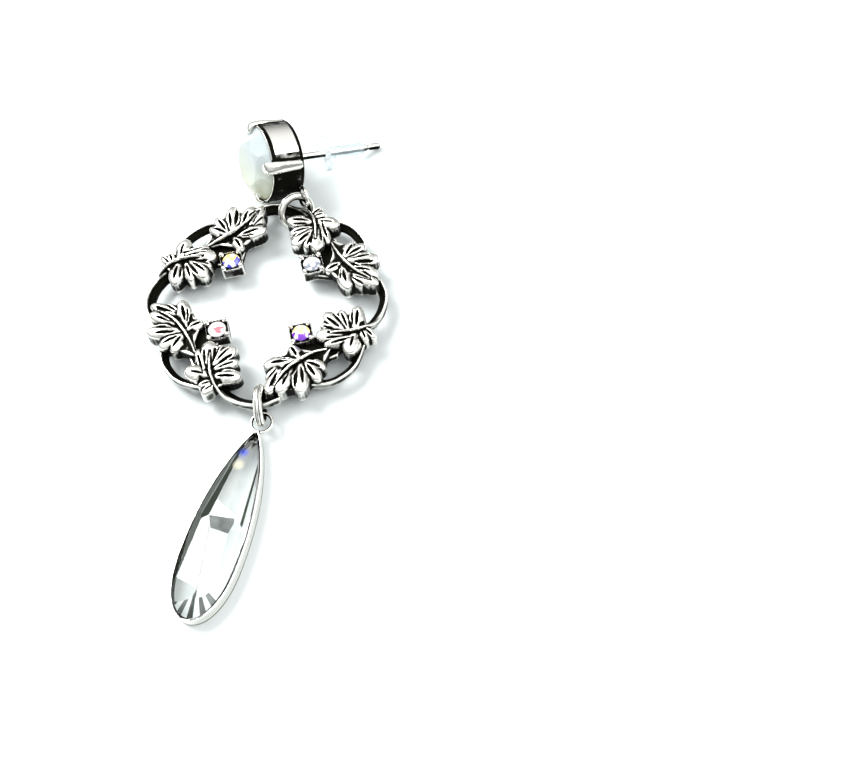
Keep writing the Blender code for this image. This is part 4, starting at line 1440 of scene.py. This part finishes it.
def drop_stone():
    """The long stone: a blank of its outline with its facets cut one by one."""
    outline = drop_outline(DROP_STONE_INSET, DROP_STONE_POINTS)
    stone = outline_piece("drop_crystal", outline, DROP_STONE_BOTTOM, DROP_STONE_TOP)
    rows = list(DROP_FACETS)
    rows += end_rows(END_STAR, *END_STAR_CUT)
    rows += end_rows(END_RING, *END_RING_CUT)
    cuts = []
    for name, first, second, fall, painted_reflection in rows:
        first = Vector(first)
        from_middle = END_MIDDLE if name == "end" else DROP_MIDDLE
        normal = hinged_normal(first, Vector(second), fall, from_middle)
        facet(first * MM, normal)
        cuts.append((normal, painted_reflection))
    join_flat_faces()
    same_way = 0.99995
    # each face keeps the darkness of the reflection painted on its facet
    painted_reflections = stone.data.attributes.new("painted_reflection", "FLOAT", "FACE")
    for face in stone.data.polygons:
        for normal, painted_reflection in cuts:
            if face.normal.dot(normal) > same_way:
                painted_reflections.data[face.index].value = painted_reflection
    apply_modifier(
        stone, "BEVEL", width=0.02 * MM, segments=1, limit_method="ANGLE", angle_limit=0.02,
    )
    return stone


def build_floor():
    """A plain white surface, larger than the view."""
    floor = added("floor", bpy.ops.mesh.primitive_plane_add, size=2.0)
    material, tree, shader = new_material("white_paper")
    grain = noise(tree, object_place(tree), 1500.0, 3.0)
    tree.links.new(mixed(tree, grain, *PAPER_TONES), shader.inputs["Base Color"])
    shader.inputs["Roughness"].default_value = 0.9
    floor.data.materials.append(material)


def build_camera():
    """The photo's view: from in front and above, with a slight roll."""
    back = Vector((0.0, -math.cos(VIEW_ELEVATION), math.sin(VIEW_ELEVATION)))
    right = Vector((1.0, 0.0, 0.0))
    axes = Matrix((right, back.cross(right), back)).transposed().to_4x4()
    camera = listed("camera", bpy.data.cameras.new("camera"))
    place = Matrix.Translation(VIEW_POINT + VIEW_DISTANCE * back)
    camera.matrix_world = place @ axes @ Matrix.Rotation(-VIEW_ROLL, 4, "Z")
    camera.data.lens = LENS
    camera.data.sensor_width = SENSOR
    camera.data.clip_start = 5 * MM
    bpy.context.scene.camera = camera


def soft_box(name, place, size, power):
    """A square soft light that faces the middle of the table."""
    lamp = bpy.data.lights.new(name, "AREA")
    lamp.shape = "SQUARE"
    lamp.size = size
    lamp.energy = power
    light = listed(name, lamp)
    light.location = place
    light.rotation_euler = (-Vector(place)).to_track_quat("-Z", "Y").to_euler()


def build_light():
    """A bright room: dark at the horizon, pale overhead, with two soft boxes."""
    world = bpy.data.worlds.new("room")
    bpy.context.scene.world = world
    world.use_nodes = True
    tree = world.node_tree
    towards = node(tree, "ShaderNodeTexCoord").outputs["Generated"]
    height = node(tree, "ShaderNodeSeparateXYZ", {0: towards}).outputs["Z"]
    tree.links.new(ramp(tree, height, ROOM_TONES), tree.nodes["Background"].inputs["Color"])
    for row in SOFT_BOXES:
        soft_box(*row)
    bpy.context.scene.view_settings.view_transform = "Standard"
    bpy.context.scene.view_settings.exposure = EXPOSURE


build_camera()
build_light()
build_floor()

patina = patina_group()
casting_silver = silver(
    "casting_silver", patina, dark_below=0.0, bright_above=0.024, mottle=0.8, bump=0.5,
)
smooth_silver = silver(
    "smooth_silver", patina, dark_below=-0.030, bright_above=-0.006, mottle=0.8, bump=0.3,
)
haze = haze_group()
painted_sparkle = painted_sparkle_group()
rhinestones = []
for i, (far_tint, near_tint) in enumerate(RHINESTONE_TINTS):
    name = "rhinestone_%d" % (i + 1)
    split = middle(name).y
    rhinestones.append(rhinestone_material(name, painted_sparkle, far_tint, near_tint, split))

build_wreath(casting_silver)
build_rhinestones(rhinestones)
build_stud(smooth_silver, opal_material(haze))
build_nut(silicone_material(haze))
build_rings(casting_silver)
build_drop(smooth_silver, crystal_material(haze))
